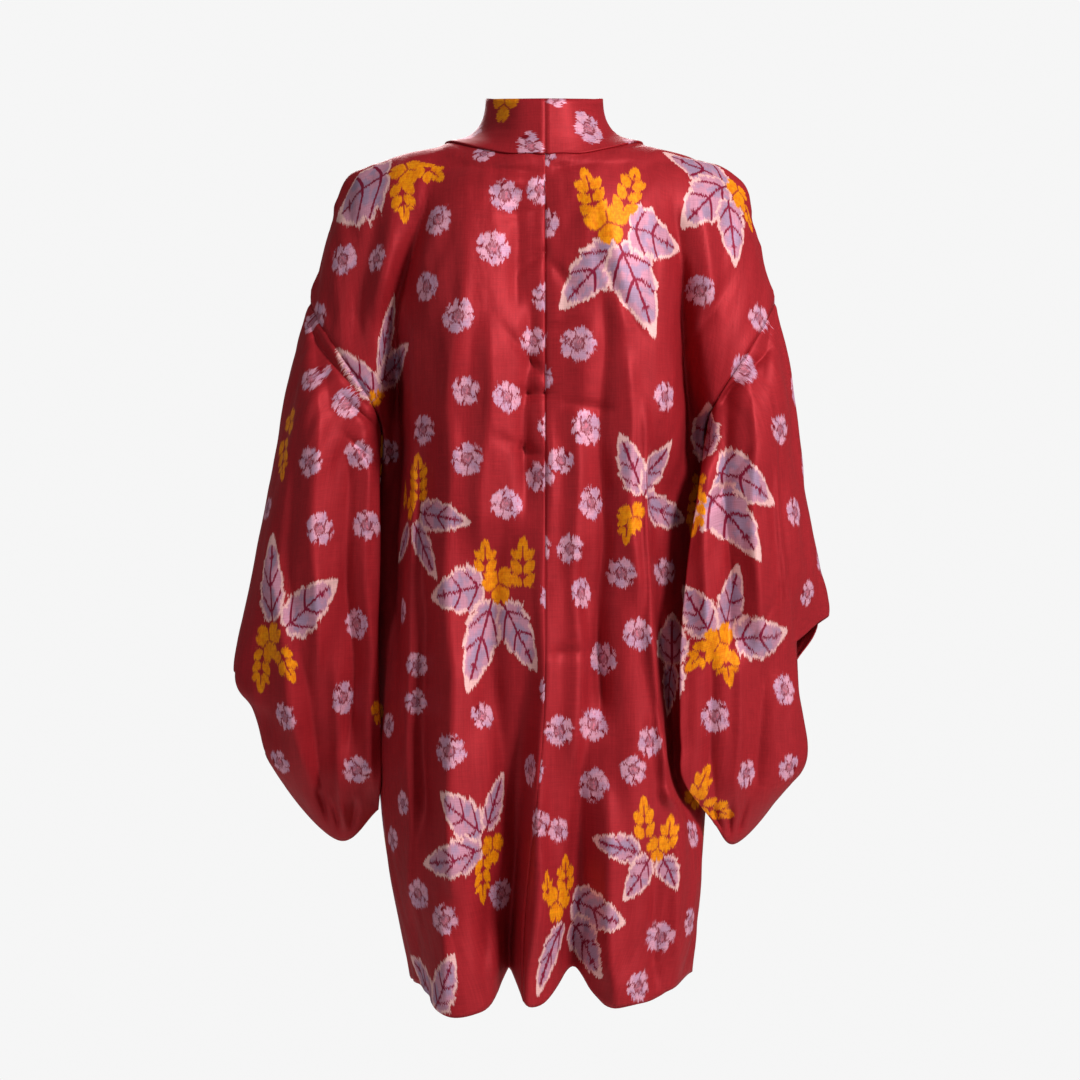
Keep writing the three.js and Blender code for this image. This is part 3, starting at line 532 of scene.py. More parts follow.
# length or half width of a motif, as a share of the width in its table
MOTIF_SIZE = {ROSETTE: 0.38, BLOOM: 0.49, LEAF: 0.55, SPIKE: 0.52}
# how near a piece has to be to a place in the photograph, in mm, to carry a disc, or one and both ends of a leaf
DISC_MISS, NEAR_MISS, FAR_MISS = 30, 25, 62
# grid steps each way over which the cloth's metric is taken, and the least and most that it may stretch
METRIC_STEP, LEAST_STRETCH, MOST_STRETCH = 2, 0.25, 4
# cloth out of sight: places tried, how many of those for sprigs, and the room that each kind needs
PLACES_TRIED, SPRIGS_TRIED = 700, 130
SPRIG_ROOM, SPRIG_REACH, ROSETTE_ROOM = 74, 84, 43
# length and width that the cloth carries where it has no motif, so that no division is by nought
NO_MOTIF_SIZE = 10.0


def as_seen(points):
    """Where the photograph's camera sees points, as x and z in mm at the neck's depth."""
    reach = CAMERA_DISTANCE / (CAMERA_DISTANCE - points[..., 1])
    x = CAMERA_X + (points[..., 0] - CAMERA_X) * reach
    z = CAMERA_Z + (points[..., 2] - CAMERA_Z) * reach
    return np.stack([x, z], -1)


def inner_cell(grid, r, c):
    """The nearest grid place with room for the metric's steps round it."""
    rows, columns = grid.shape[:2]
    return (int(np.clip(r, METRIC_STEP, rows - 1 - METRIC_STEP)),
            int(np.clip(c, METRIC_STEP, columns - 1 - METRIC_STEP)))


def steps_at(values, r, c):
    """How values change across and then down the grid at a place."""
    k = METRIC_STEP
    return np.stack([values[r, c + k] - values[r, c - k], values[r + k, c] - values[r - k, c]], -1)


def cloth_metric(grid, p, q, r, c):
    """Turns steps in the cloth coordinates near a grid place into steps on the cloth itself, in mm.

    It is plain where the coordinates jump, at the start of the front, or where a fold crowds the grid.
    """
    across, along = steps_at(grid, r, c).T
    rise = max(np.linalg.norm(along), TINY)
    up = along / rise
    aside = across - (across @ up) * up
    steps = np.array([[np.linalg.norm(aside), 0.0], [across @ up, rise]])
    move = np.array([steps_at(p, r, c), steps_at(q, r, c)])
    metric = steps @ np.linalg.pinv(move)
    stretch = np.linalg.svd(metric, compute_uv=False)
    if stretch[0] > MOST_STRETCH or stretch[-1] < LEAST_STRETCH:
        metric = np.eye(2)
    return metric, move


def spot(grid, normals, p, q, x, z):
    """The cloth place that shows at (x, z) from behind, the cloth's metric, the seen up in it, and what it misses."""
    seen = as_seen(grid)
    away = np.hypot(seen[..., 0] - x, seen[..., 1] - z) + np.where(normals[..., 1] > 0.05, 0, 40)
    r, c = inner_cell(grid, *np.unravel_index(np.argmin(away), away.shape))
    metric, move = cloth_metric(grid, p, q, r, c)
    to_cloth = move @ np.linalg.pinv(steps_at(seen, r, c))
    miss = np.array([x, z]) - seen[r, c]
    away = float(np.hypot(*miss))
    start = np.array([p[r, c], q[r, c]])
    if away < FAR_MISS:
        start = start + to_cloth @ miss
    return start, metric, metric @ to_cloth @ np.array([0.0, 1.0]), away


def turned(vector, angle):
    return np.array([math.cos(angle) * vector[0] - math.sin(angle) * vector[1],
                     math.sin(angle) * vector[0] + math.cos(angle) * vector[1]])


class Motifs:
    """The motifs of one piece, in its cloth coordinates: place, own x and y directions, length and half width."""

    def __init__(self, grid, normals, p, q):
        self.cloth = (grid, normals, p, q)
        self.leaves, self.discs, self.spikes = [], [], []
        self.spots = []

    def add(self, kind, layer, place, metric, ahead, length, width):
        """Adds a motif at a place. ahead is its own y direction on the cloth itself."""
        ahead = ahead / np.linalg.norm(ahead)
        layer.append((kind, place, turned(ahead, math.pi / 2) @ metric, ahead @ metric, float(length), float(width)))
        self.spots.append(place)
        if kind in (LEAF, SPIKE):
            self.spots.append(place + np.linalg.pinv(metric) @ ahead * length * 0.5)

    def disc(self, kind, x, y, width, turn):
        """A rosette or bloom that shows at a place in the photograph, turned by an angle in degrees."""
        place, metric, up, miss = spot(*self.cloth, *from_photo(x, y))
        if miss < DISC_MISS:
            size = width * PHOTO_MM * MOTIF_SIZE[kind]
            self.add(kind, self.discs, place, metric, turned(up, math.radians(turn)), size, size)

    def line(self, kind, x, y, tip_x, tip_y, width):
        """A leaf or spike that shows between two places in the photograph."""
        root, metric, _, miss = spot(*self.cloth, *from_photo(x, y))
        tip, tip_metric, _, tip_miss = spot(*self.cloth, *from_photo(tip_x, tip_y))
        metric = (metric + tip_metric) / 2
        ahead = metric @ (tip - root)
        length = np.linalg.norm(ahead)
        flat = math.hypot(tip_x - x, tip_y - y) * PHOTO_MM
        near = min(miss, tip_miss) < NEAR_MISS and max(miss, tip_miss) < FAR_MISS
        if near and 0.5 * flat < length < 2.3 * flat:
            layer = self.leaves if kind == LEAF else self.spikes
            self.add(kind, layer, root, metric, ahead, length, width * PHOTO_MM * MOTIF_SIZE[kind])

    def fill(self, area, seed):
        """Sprigs, and then rosettes, over cloth that the photograph doesn't show."""
        grid, _, p, q = self.cloth
        rng = np.random.default_rng(seed)
        cells = np.argwhere(area)

        def hidden(place):
            return area.flat[np.argmin(np.hypot(p - place[0], q - place[1]))]

        for index in range(PLACES_TRIED):
            row, column = cells[rng.integers(len(cells))]
            place = np.array([p[row, column], q[row, column]])
            leafy = index < SPRIGS_TRIED
            room = SPRIG_ROOM if leafy else ROSETTE_ROOM
            if self.spots and min(np.hypot(*(place - other)) for other in self.spots) < room:
                continue
            metric, _ = cloth_metric(grid, p, q, *inner_cell(grid, row, column))
            if not leafy:
                size = rng.uniform(14.5, 18)
                ahead = turned((0, 1), rng.uniform(0, 2 * math.pi))
                self.add(ROSETTE, self.discs, place, metric, ahead, size, size)
                continue
            turn = rng.choice([0, math.pi]) + rng.uniform(-0.5, 0.5)

            def toward(lean):
                return turned((0, 1), turn + lean)

            def beyond(lean, run):
                return place + np.linalg.pinv(metric) @ toward(lean) * run

            if not all(hidden(beyond(lean, SPRIG_REACH)) for lean in (0, math.pi, math.pi - 1.1, math.pi + 1.0)):
                continue
            for lean in (math.pi - 1.15, math.pi + 1.0, math.pi - 0.1):
                length = rng.uniform(44, 70)
                width = 9 + 0.17 * length
                self.add(LEAF, self.leaves, beyond(lean, 8), metric, toward(lean), length, width)
            self.add(BLOOM, self.discs, beyond(0, 8), metric, toward(0), 17, 17)
            for lean in (-0.5, 0.45):
                self.add(SPIKE, self.spikes, beyond(lean, 24), metric, toward(lean * 0.3), 38, 12)

    def owners(self, layer, p, q, count):
        """For each cell, the motifs of a layer that come nearest, in the layer's order; -1 where there are fewer."""
        reach = np.full((count + 1, *p.shape), 1.0)
        owner = np.full((count + 1, *p.shape), -1)
        for index, (kind, place, aside, ahead, length, width) in enumerate(layer):
            x = (p - place[0]) * aside[0] + (q - place[1]) * aside[1]
            y = (p - place[0]) * ahead[0] + (q - place[1]) * ahead[1]
            if kind in (LEAF, SPIKE):
                near = np.hypot(x / (width + 9), (y - length * 0.45) / (length * 0.55 + 9))
            else:
                near = np.hypot(x, y) / (length + 8)
            reach[-1], owner[-1] = near, index
            owner[-1][near >= 1] = -1
            order = np.argsort(reach, axis=0, kind="stable")
            reach = np.take_along_axis(reach, order, 0)
            owner = np.take_along_axis(owner, order, 0)
            reach[-1] = 1.0
        return np.sort(owner[:count], axis=0)

    def layers(self, p, q):
        """Name, motifs and owners of each layer of the pattern."""
        leaves = self.owners(self.leaves, p, q, 2)
        return [("leaf_under", self.leaves, leaves[0]), ("leaf_over", self.leaves, leaves[1]),
                ("disc", self.discs, self.owners(self.discs, p, q, 1)[0]),
                ("spike", self.spikes, self.owners(self.spikes, p, q, 1)[0])]


def motifs_for(name, grid, normals, p, q, seen, seed):
    """All the motifs of a piece. seen marks the cloth that shows from behind."""
    motifs = Motifs(grid, normals, p, q)
    collar = name.startswith("collar")
    if not name.startswith("side"):
        turn = 17 * seed
        for x, y, width in COLLAR_ROSETTES if collar else ROSETTES:
            turn += 47
            motifs.disc(ROSETTE, x, y, width, turn)
        for piece, x, y, width in SEAM_ROSETTES:
            turn += 53
            if piece == name:
                motifs.disc(ROSETTE, x, y, width, turn)
        for x, y, width in COLLAR_BLOOMS if collar else BLOOMS:
            turn += 61
            motifs.disc(BLOOM, x, y, width, 16 * math.sin(turn))
        if not collar:
            for leaf in LEAVES:
                motifs.line(LEAF, *leaf)
            for spike in SPIKES:
                motifs.line(SPIKE, *spike)
    if (~seen).any():
        motifs.fill(~seen, seed + 7)
    return motifs


# ---- Materials
def linear(r, g, b):
    """An RGBA colour from 8-bit sRGB values."""
    parts = []
    for value in (r, g, b):
        value /= 255
        parts.append(value / 12.92 if value <= 0.04045 else ((value + 0.055) / 1.055) ** 2.4)
    return (*parts, 1.0)


class Value:
    """An output of a shader node, so that sums and products of values can be written plainly."""

    def __init__(self, graph, socket):
        self.graph, self.socket = graph, socket

    def __add__(self, other):
        return self.graph.math("ADD", self, other)

    def __radd__(self, other):
        return self.graph.math("ADD", other, self)

    def __sub__(self, other):
        return self.graph.math("SUBTRACT", self, other)

    def __rsub__(self, other):
        return self.graph.math("SUBTRACT", other, self)

    def __mul__(self, other):
        return self.graph.math("MULTIPLY", self, other)

    def __truediv__(self, other):
        return self.graph.math("DIVIDE", self, other)

    def __pow__(self, other):
        return self.graph.math("POWER", self, other)

    def __abs__(self):
        return self.graph.math("ABSOLUTE", self)


class Graph:
    """Builds the shader nodes of a material by small steps."""

    def __init__(self, name):
        self.material = bpy.data.materials.new(name)
        self.material.use_nodes = True
        self.tree = self.material.node_tree
        self.tree.nodes.clear()

    def put(self, socket, value):
        if isinstance(value, Value):
            self.tree.links.new(value.socket, socket)
        else:
            socket.default_value = value

    def node(self, kind, *values, output=0, settings=(), **inputs):
        """Adds a node, fills its inputs in order and by name, and gives one of its outputs."""
        node = self.tree.nodes.new("ShaderNode" + kind)
        for key, setting in settings:
            setattr(node, key, setting)
        for socket, value in zip(node.inputs, values):
            self.put(socket, value)
        for key, value in inputs.items():
            self.put(node.inputs[key.replace("_", " ")], value)
        return Value(self, node.outputs[output])

    def math(self, operation, *values):
        return self.node("Math", *values, settings=[("operation", operation)])

    def ramp(self, value, low, high):
        """0 at low and 1 at high, smooth between; low may be above high."""
        start, end = (1.0, 0.0) if low > high else (0.0, 1.0)
        return self.node("MapRange", output="Result", settings=[("interpolation_type", "SMOOTHSTEP")], Value=value,
                         From_Min=min(low, high), From_Max=max(low, high), To_Min=start, To_Max=end)

    def mix(self, share, a, b):
        node = self.tree.nodes.new("ShaderNodeMix")
        node.data_type = "RGBA"
        for place, value in ((0, share), (6, a), (7, b)):
            self.put(node.inputs[place], value)
        return Value(self, node.outputs[2])

    def noise(self, vector, detail, roughness=0.5, scale=1.0):
        return self.node("TexNoise", output="Fac", Vector=vector, Scale=scale, Detail=detail, Roughness=roughness)

    def vector(self, x, y, z=0.0):
        return self.node("CombineXYZ", x, y, z)

    def split(self, vector):
        first = self.node("SeparateXYZ", vector)
        return [Value(self, socket) for socket in first.socket.node.outputs]

    def attribute(self, name):
        first = self.node("Attribute", settings=[("attribute_name", name)])
        return {socket.name: Value(self, socket) for socket in first.socket.node.outputs}

    def least(self, *values):
        return functools.reduce(lambda a, b: self.math("MINIMUM", a, b), values)

    def most(self, *values):
        return functools.reduce(lambda a, b: self.math("MAXIMUM", a, b), values)

    def length(self, x, y):
        return self.math("SQRT", x * x + y * y)

    def finished(self, shader):
        """The material, with this shader on its surface."""
        output = self.tree.nodes.new("ShaderNodeOutputMaterial")
        self.put(output.inputs["Surface"], shader)
        return self.material


GROUND = linear(177, 40, 47)
GROUND_DEEP = linear(138, 23, 31)
DEEP = linear(122, 10, 26)
VEIN = linear(130, 22, 52)
LILAC = linear(218, 158, 178)
LILAC_GREY = linear(196, 150, 176)
LEAF_PINK = linear(198, 138, 158)
LEAF_GREY = linear(164, 134, 160)
CREAM = linear(234, 184, 180)
GOLD = linear(242, 150, 10)
GOLD_DEEP = linear(228, 124, 8)
CORAL = linear(206, 116, 134)
SHADE = (0.03, 0.0, 0.004, 1.0)
SHEEN = (1.0, 0.36, 0.38, 1.0)
PALE = (0.8, 0.8, 0.79, 1.0)
PALE_GRAIN = (0.8, 0.8, 0.8, 1.0)
# half the width in mm of a motif's soft edge
SOFT = 0.8


class Place:
    """A motif's own coordinates and sizes at the place shaded, with edges that slip along the warp threads."""

    def __init__(self, g, label, slip):
        x, y, self.kind = g.split(g.attribute(label)["Vector"])
        facts = g.attribute(label + "_facts")
        slip_x, slip_y, self.length = g.split(facts["Color"])
        self.width = facts["Alpha"]
        self.x, self.y = x + slip * slip_x, y + slip * slip_y
        self.place = g.vector(self.x, self.y, self.length * 7.3)
        self.g = g

    def noise(self, fineness):
        """Noise that moves with the motif and differs from one motif to the next."""
        scaled = self.g.node("VectorMath", self.place, settings=[("operation", "SCALE")], Scale=fineness)
        return self.g.noise(scaled, 1.0)

    def gold(self):
        return self.g.mix(self.g.ramp(self.noise(0.3), 0.35, 0.65), GOLD, GOLD_DEEP)

    def within(self, kind, mask):
        """The mask, where the motif is of this kind."""
        return mask * self.g.math("COMPARE", self.kind, float(kind), 0.4)


def draw_rosette(g, at):
    """Five notched petals round a rayed eye, parted by widening gaps."""
    radius = g.length(at.x, at.y)
    reach = radius / at.length
    swirl = (at.noise(0.12) - 0.5) * 2.0
    turn = (g.math("ARCTAN2", at.y, at.x) + swirl) / (2 * math.pi / 5)
    across = abs(g.math("FRACT", turn + 10.5) - 0.5)
    petal = 1.0 - across * 2.0
    notch = g.math("PINGPONG", petal * 3.0, 0.5)
    ragged = at.noise(0.3) - 0.5
    rim = (0.77 + petal ** 0.5 * 0.20) + (notch * 0.13 + ragged * 0.4)
    mask = g.ramp((reach - rim) * at.length, SOFT, -SOFT)
    gap = (0.5 - across) * radius * 1.256
    gap_width = 0.4 + g.most(reach - 0.5, 0.0) * 2.4
    parting = g.ramp(gap - gap_width, 0.5, -0.4) * g.ramp(reach, 0.24, 0.32)
    ring = g.ramp(abs(reach - (0.34 + ragged * 0.3)), 0.085, 0.04)
    rays = g.ramp(at.noise(0.42), 0.53, 0.58)
    colour = g.mix(g.ramp(at.noise(0.11), 0.42, 0.6), LILAC, LILAC_GREY)
    colour = g.mix(g.ramp(at.noise(0.5), 0.60, 0.68) * 0.5, colour, GROUND)
    colour = g.mix(g.ramp(reach, 0.3, 0.24) * rays, colour, CORAL)
    dark = g.most(parting, ring * 0.85, g.ramp(reach, 0.3, 0.2) * (1.0 - rays) * 0.6)
    return at.within(ROSETTE, mask), g.mix(dark, colour, DEEP)


def draw_bloom(g, at):
    """Three heart-shaped lobes."""
    lobes = []
    for turn in (62, -62, 180):
        out_x, out_y = math.sin(math.radians(turn)), math.cos(math.radians(turn))
        dx, dy = at.x - at.length * (0.50 * out_x), at.y - at.length * (0.50 * out_y)
        outward = dx * out_x + dy * out_y
        aside = abs(dx * out_y - dy * out_x)
        round_edge = g.length(dx, dy) - at.length * 0.50
        notch = (outward - aside * 1.5 - at.length * 0.26) * 0.6
        lobes.append(g.most(round_edge, notch))
    nearest = g.least(*lobes)
    second = g.most(g.least(lobes[0], lobes[1]), g.least(g.most(lobes[0], lobes[1]), lobes[2]))
    parting = g.ramp(second - nearest, 2.2, 0.9)
    mask = g.ramp(nearest, SOFT, -SOFT) * (1.0 - parting * 0.85)
    return at.within(BLOOM, mask), at.gold()


def draw_spike(g, at):
    """Small drop-shaped flowers in pairs up a stem, and one at its tip."""
    side = abs(at.x)
    beat = at.width * 0.92
    step = g.math("FLOORED_MODULO", at.y, beat) - beat * 0.52
    out = side - at.width * 0.50

    def drop(x, y, across, along):
        pinch = 1.0 + y / at.width * -0.35
        return g.length(x / (at.width * across * pinch), y / (at.width * along))

    pairs = g.ramp(drop(out * 0.80 - step * 0.60, out * 0.60 + step * 0.80, 0.35, 0.56), 1.08, 0.92)
    last = at.length - at.width * 0.55
    tip = g.ramp(drop(at.x, at.y - last, 0.38, 0.62), 1.1, 0.92)
    span = g.ramp(at.y, -1.0, 1.0) * g.ramp(at.y - (last - at.width * 0.3), 1.0, -1.0)
    stem = g.ramp(side, 0.9, 0.4) * g.ramp(at.y - last, 1.0, -1.0)
    return at.within(SPIKE, g.most(pairs * span, tip) * (1.0 - stem)), at.gold()


def draw_leaf(g, at):
    """A toothed leaf with a hollow at its root: y runs from the root to the tip."""
    side = abs(at.x)
    share = (at.y + side * 0.42) / (at.length * 1.02)
    inside = g.least(g.most(share, 0.0), 1.0)
    belly = g.math("SINE", inside ** 0.76 * math.pi) ** 0.72
    tooth = g.math("FRACT", inside * 4.7 + g.math("SIGN", at.x) * 0.17 + at.length * 0.31)
    ragged = (at.noise(0.3) - 0.5) * 0.3
    edge = at.width * belly * (0.84 + tooth ** 1.4 * 0.18 + ragged)
    mask = g.ramp(side - edge, SOFT, -SOFT) * g.ramp(share, 0.0, 0.02) * g.ramp(share, 1.0, 0.98)
    past_heart = side - (edge - (1.0 + at.width * 0.10))
    heart = g.ramp(past_heart, SOFT, -SOFT) * g.ramp(share, 0.87, 0.84) * g.ramp(share, 0.03, 0.07)
    midrib = g.ramp(side, 1.5, 0.8) * g.ramp(share, 0.88, 0.84)
    lead = inside * 3.4 - (side / at.width) ** 1.25 * 1.5
    branch = abs(g.math("FRACT", lead + 0.12) - 0.5)
    veins = g.ramp(branch, 0.10, 0.06) * heart * g.ramp(share, 0.76, 0.72)
    tone = g.ramp(at.noise(0.09), 0.42, 0.58)
    colour = g.mix(tone * (1.0 - g.ramp(past_heart, -4.5, 0.0)), LEAF_PINK, LEAF_GREY)
    colour = g.mix(heart, CREAM, colour)
    return at.within(LEAF, mask), g.mix(g.most(midrib, veins), colour, VEIN)


def silk_material(name):
    """Plain-woven silk with slubs, fine ribs, a soft lustre and the pattern on its ground."""
    g = Graph(name)
    cloth = g.split(g.node("UVMap", output="UV", settings=[("uv_map", "cloth")]))
    across, along = cloth[0] * 1000.0, cloth[1] * 1000.0

    def woven(fine_across, fine_along, detail, roughness=0.5):
        """Noise with its own fineness across the cloth and along its warp."""
        return g.noise(g.vector(across * fine_across, along * fine_along), detail, roughness)

    slip = (woven(1.1, 0.05, 1.0) - 0.5) * 9.0 + (woven(2.2, 0.3, 1.0) - 0.5) * 4.0
    ground = woven(0.7, 0.012, 3.0, 0.6) * 0.6 + woven(0.05, 0.02, 2.0) * 0.4
    colour = g.mix(ground, GROUND_DEEP, GROUND)
    for label, draws in (("leaf_under", (draw_leaf,)), ("leaf_over", (draw_leaf,)), ("spike", (draw_spike,)),
                         ("disc", (draw_rosette, draw_bloom))):
        at = Place(g, label, slip)
        for draw in draws:
            mask, paint = draw(g, at)
            colour = g.mix(mask, colour, paint)
    slub, warp, grain = woven(0.06, 1.3, 2.0), woven(1.6, 0.03, 2.0), woven(3.0, 3.0, 1.0)
    shade = slub * 0.5 + warp * 0.35 + grain * 0.15
    colour = g.mix(g.ramp(shade, 0.62, 0.38), colour, g.mix(0.78, SHADE, colour))
    weave = g.node("Bump", Strength=0.12, Distance=0.0006, Height=slub * 0.35 + warp * 0.35 + grain * 0.3)
    folds = g.node("Bump", Strength=0.35, Distance=0.004, Height=woven(0.05, 0.018, 3.0), Normal=weave)
    return g.finished(g.node("BsdfPrincipled", Base_Color=colour, Roughness=0.48 + shade * 0.12, Metallic=0.2,
                             Specular_IOR_Level=0.3, Specular_Tint=SHEEN, Normal=folds))


def floor_material(name):
    g = Graph(name)
    grain = g.noise(g.node("TexCoord", output="Object"), 2.0, scale=3.0)
    return g.finished(g.node("BsdfPrincipled", Roughness=0.9, Base_Color=g.mix(grain * 0.04, PALE, PALE_GRAIN)))


# ---- Pieces
def add_object(name, data):
    thing = bpy.data.objects.new(name, data)
    bpy.context.scene.collection.objects.link(thing)
    return thing


def at_corners(values):
    """The values at the four corners of each cell of a grid."""
    return np.stack([values[:-1, :-1], values[:-1, 1:], values[1:, 1:], values[1:, :-1]], -1)


def build_sheet(name, grid, normals, p, q, seen, seed, thickness=SHELL, open_cells=None, folded=False, front=None):
    """A shell of cloth from a grid of points, with its cloth and motif coordinates.

    seen marks the cloth that shows from behind. folded joins the two halves of the last row.
    front is a row and the q that the cloth has from that row on.
    """
    rows, columns = grid.shape[:2]
    motif_q = q if front is None else np.where(np.arange(rows)[:, None] < front[0], q, front[1])
    parts = motifs_for(name, grid, normals, p, motif_q, np.broadcast_to(seen, p.shape), seed)
    index = np.arange(rows * columns).reshape(rows, columns)
    if folded:
        half = (columns - 1) // 2
        index[-1, half + 1:] = index[-1, :half][::-1]
    keep = np.ones((rows - 1, columns - 1), bool) if open_cells is None else ~open_cells
    faces = at_corners(index)[keep]
    corner_p, corner_q = at_corners(p)[keep], at_corners(q)
    if front is not None:
        corner_q[front[0]:] = at_corners(front[1])[front[0]:]
    corner_q = corner_q[keep]
    used, renumbered = np.unique(faces, return_inverse=True)
    mesh = bpy.data.meshes.new("cloth_" + name)
    mesh.from_pydata((grid.reshape(-1, 3)[used] * MM).tolist(), [], renumbered.reshape(faces.shape).tolist())
    cloth = mesh.uv_layers.new(name="cloth")
    cloth.data.foreach_set("uv", (np.stack([corner_p, corner_q], -1) * MM).ravel())
    for label, motifs, owner in parts.layers(corner_p.mean(-1), corner_q.mean(-1)):
        own = np.zeros((*corner_p.shape, 3))
        facts = np.zeros((len(faces), 4))
        facts[:, 2:] = NO_MOTIF_SIZE
        for number, (kind, place, aside, ahead, length, width) in enumerate(motifs):
            mine = owner == number
            dp, dq = corner_p[mine] - place[0], corner_q[mine] - place[1]
            own[mine] = np.stack([dp * aside[0] + dq * aside[1], dp * ahead[0] + dq * ahead[1],
                                  np.full_like(dp, kind)], -1)
            facts[mine] = (aside[1], ahead[1], length, width)
        mesh.attributes.new(label, "FLOAT_VECTOR", "CORNER").data.foreach_set("vector", own.ravel())
        mesh.attributes.new(label + "_facts", "FLOAT_COLOR", "FACE").data.foreach_set("color", facts.ravel())
    mesh.polygons.foreach_set("use_smooth", np.ones(len(mesh.polygons), bool))
    mesh.update()
    piece = add_object("cloth_" + name, mesh)
    shell = piece.modifiers.new("shell", "SOLIDIFY")
    shell.thickness = thickness * MM
    shell.offset = 0
    shell.use_even_offset = False
    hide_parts(name)
    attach(piece, "root")
    return piece


def make_body(side, name, seed):
    """One length of the body, from the back hem over the shoulder to the front hem."""
    at = np.linspace(0, AT["front hem"], int(AT["front hem"] / BODY_ROW_STEP) + 1)
    t = np.linspace(0, 1, BODY_COLUMNS + 1)
    share = t * (0.8 + 0.2 * t)
    grid = body_points(side, at, share)
    plain = body_points(side, at, share, MOTIF_FOLDS)
    p, q = cloth_places(plain, side, upward=True)
    front_q = FRONT_Q - cloth_places(plain, side, upward=False)[1]
    first = int(np.searchsorted(at, AT["front shoulder"]))
    push = np.where((at < BACK_END)[:, None], crease_rise("back", grid[..., 0], grid[..., 2]),
                    -crease_rise("front", grid[..., 0], grid[..., 2]))
    push *= (1 - smooth(share, 0.94, 1))[None, :]
    inner = distance_across(grid)
    outer = inner[:, -1:] - inner
    normals = outward(grid)
    normals[..., 0] *= np.where((at < AT["nape"])[:, None], smooth(inner, 0, 10), 1)
    normals = unit(normals)
    neck = (at >= AT["nape"] - 24)[:, None]
    tuck = np.where(neck, 0, seam_tuck(inner)) + seam_tuck(outer)
    grid = grid + normals * tuck[..., None]
    grid[..., 1] += push * np.where(neck, smooth(inner, 0, 12), 1)
    grid = ripple(grid, normals, p, q, seed, BODY_RIPPLE, smooth(inner, 0, 12) * smooth(outer, 0, 12))
    seen = (at < AT["shoulder"])[:, None]
    return build_sheet(name, grid, normals, p, q, seen, seed, front=(first, front_q))


def make_sleeve(side, name, seed):
    """A sleeve: a pouch with its cuff cut open and its lower corner gathered."""
    counts = [int(length / SLEEVE_ROW_STEP) for length in SLEEVE_RUNS]
    rows = np.concatenate([np.linspace(i, i + 1, n, endpoint=False) for i, n in enumerate(counts)] + [[BOTTOM]])
    grid = sleeve_points(side, rows, SLEEVE_COLUMNS)
    p, q = cloth_places(sleeve_points(side, rows, SLEEVE_COLUMNS, MOTIF_FOLDS), side, upward=False)
    share = np.linspace(0, 1, SLEEVE_COLUMNS + 1)
    push = crease_rise("sleeve", grid[..., 0], grid[..., 2]) * (1 - smooth(share, 0.44, 0.52))[None, :]
    push *= (smooth(rows, 0, 0.25) * (1 - smooth(rows, 6.6, 7)))[:, None]
    normals = outward(grid, side * 200.0)
    from_seam = np.cumsum(np.concatenate([[0], np.linalg.norm(np.diff(grid, axis=0), axis=-1).mean(1)]))[:, None]
    grid = grid + normals * seam_tuck(from_seam)[..., None]
    grid[..., 1] += push
    margin = smooth(from_seam, 0, 12) * (1 - smooth(rows, 6.3, 6.9))[:, None]
    grid = ripple(grid, normals, p, q, seed, SLEEVE_RIPPLE, margin)
    rim = (share[:-1] >= STATION_SHARES[2] - TINY) & (share[1:] <= STATION_SHARES[4] + TINY)
    cuff = (rows[:-1] >= CUFF_TOP - TINY) & (rows[1:] <= CUFF_END + TINY)
    seen = (share < 0.5)[None, :]
    return build_sheet(name, grid, normals, p, q, seen, seed, open_cells=cuff[:, None] & rim[None, :], folded=True)


def make_collar(side, name, seed):
    """Half of the folded collar band, which laps over its seam with the body."""
    length = AT["front hem"] - AT["nape"]
    at = np.linspace(AT["nape"], AT["front hem"], int(length / COLLAR_ROW_STEP) + 1)
    edge = np.array([(*point, bow) for _, point, bow in COLLAR_EDGE], float)
    free = spline([AT[label] for label, *_ in COLLAR_EDGE], edge, at)
    lap = body_points(side, at, np.array([0.0, COLLAR_LAP]))
    seam = lap[:, 0]
    band = np.stack([side_x(side, np.maximum(free[:, 0], 0)), free[:, 1], free[:, 2]], -1) - seam
    inward = unit(-seam * (1, 1, 0))
    sag = unit(inward * band[:, 2:] - np.array([0, 0, 1.0]) * (band * inward).sum(-1, keepdims=True))
    sag *= np.maximum(free[:, 3:], 0)
    share = np.linspace(0, 1, COLLAR_COLUMNS + 1)
    rise = (4 * share * (1 - share))[None, :, None]
    grid = seam[:, None] + band[:, None] * share[None, :, None] + sag[:, None] * rise
    grid = np.concatenate([lap[:, 1:], grid], axis=1)
    share = np.concatenate([[0], share])
    down = distance_down(grid)
    p, q = side * distance_across(grid), down / down[-1] * np.median(down[-1])
    normals = outward(grid)
    body_normal = unit(np.cross(np.gradient(lap[:, 1], axis=0), lap[:, 1] - lap[:, 0]))
    normals[:, 0] = body_normal * np.sign((body_normal * normals[:, 2]).sum(-1, keepdims=True))
    normals[:, 1] = unit(normals[:, 0] + normals[:, 2])
    normals[..., 0] *= smooth(down, 0, 12)
    bow = 1.2 * np.sin(np.pi * share) + 1.5 * (1 - smooth(share, 0, 0.3))
    wave = 0.5 * lattice_noise(p, q, 30.0, 60.0, seed) * smooth(down, 0, 15)
    grid = grid + normals * (bow[None, :] + wave * np.sin(np.pi * share)[None, :])[..., None]
    grid[0, :, 0] -= side * COLLAR_CENTRE_LAP
    return build_sheet(name, grid, normals, p, q, (at < AT["shoulder"])[:, None], seed, COLLAR_SHELL)


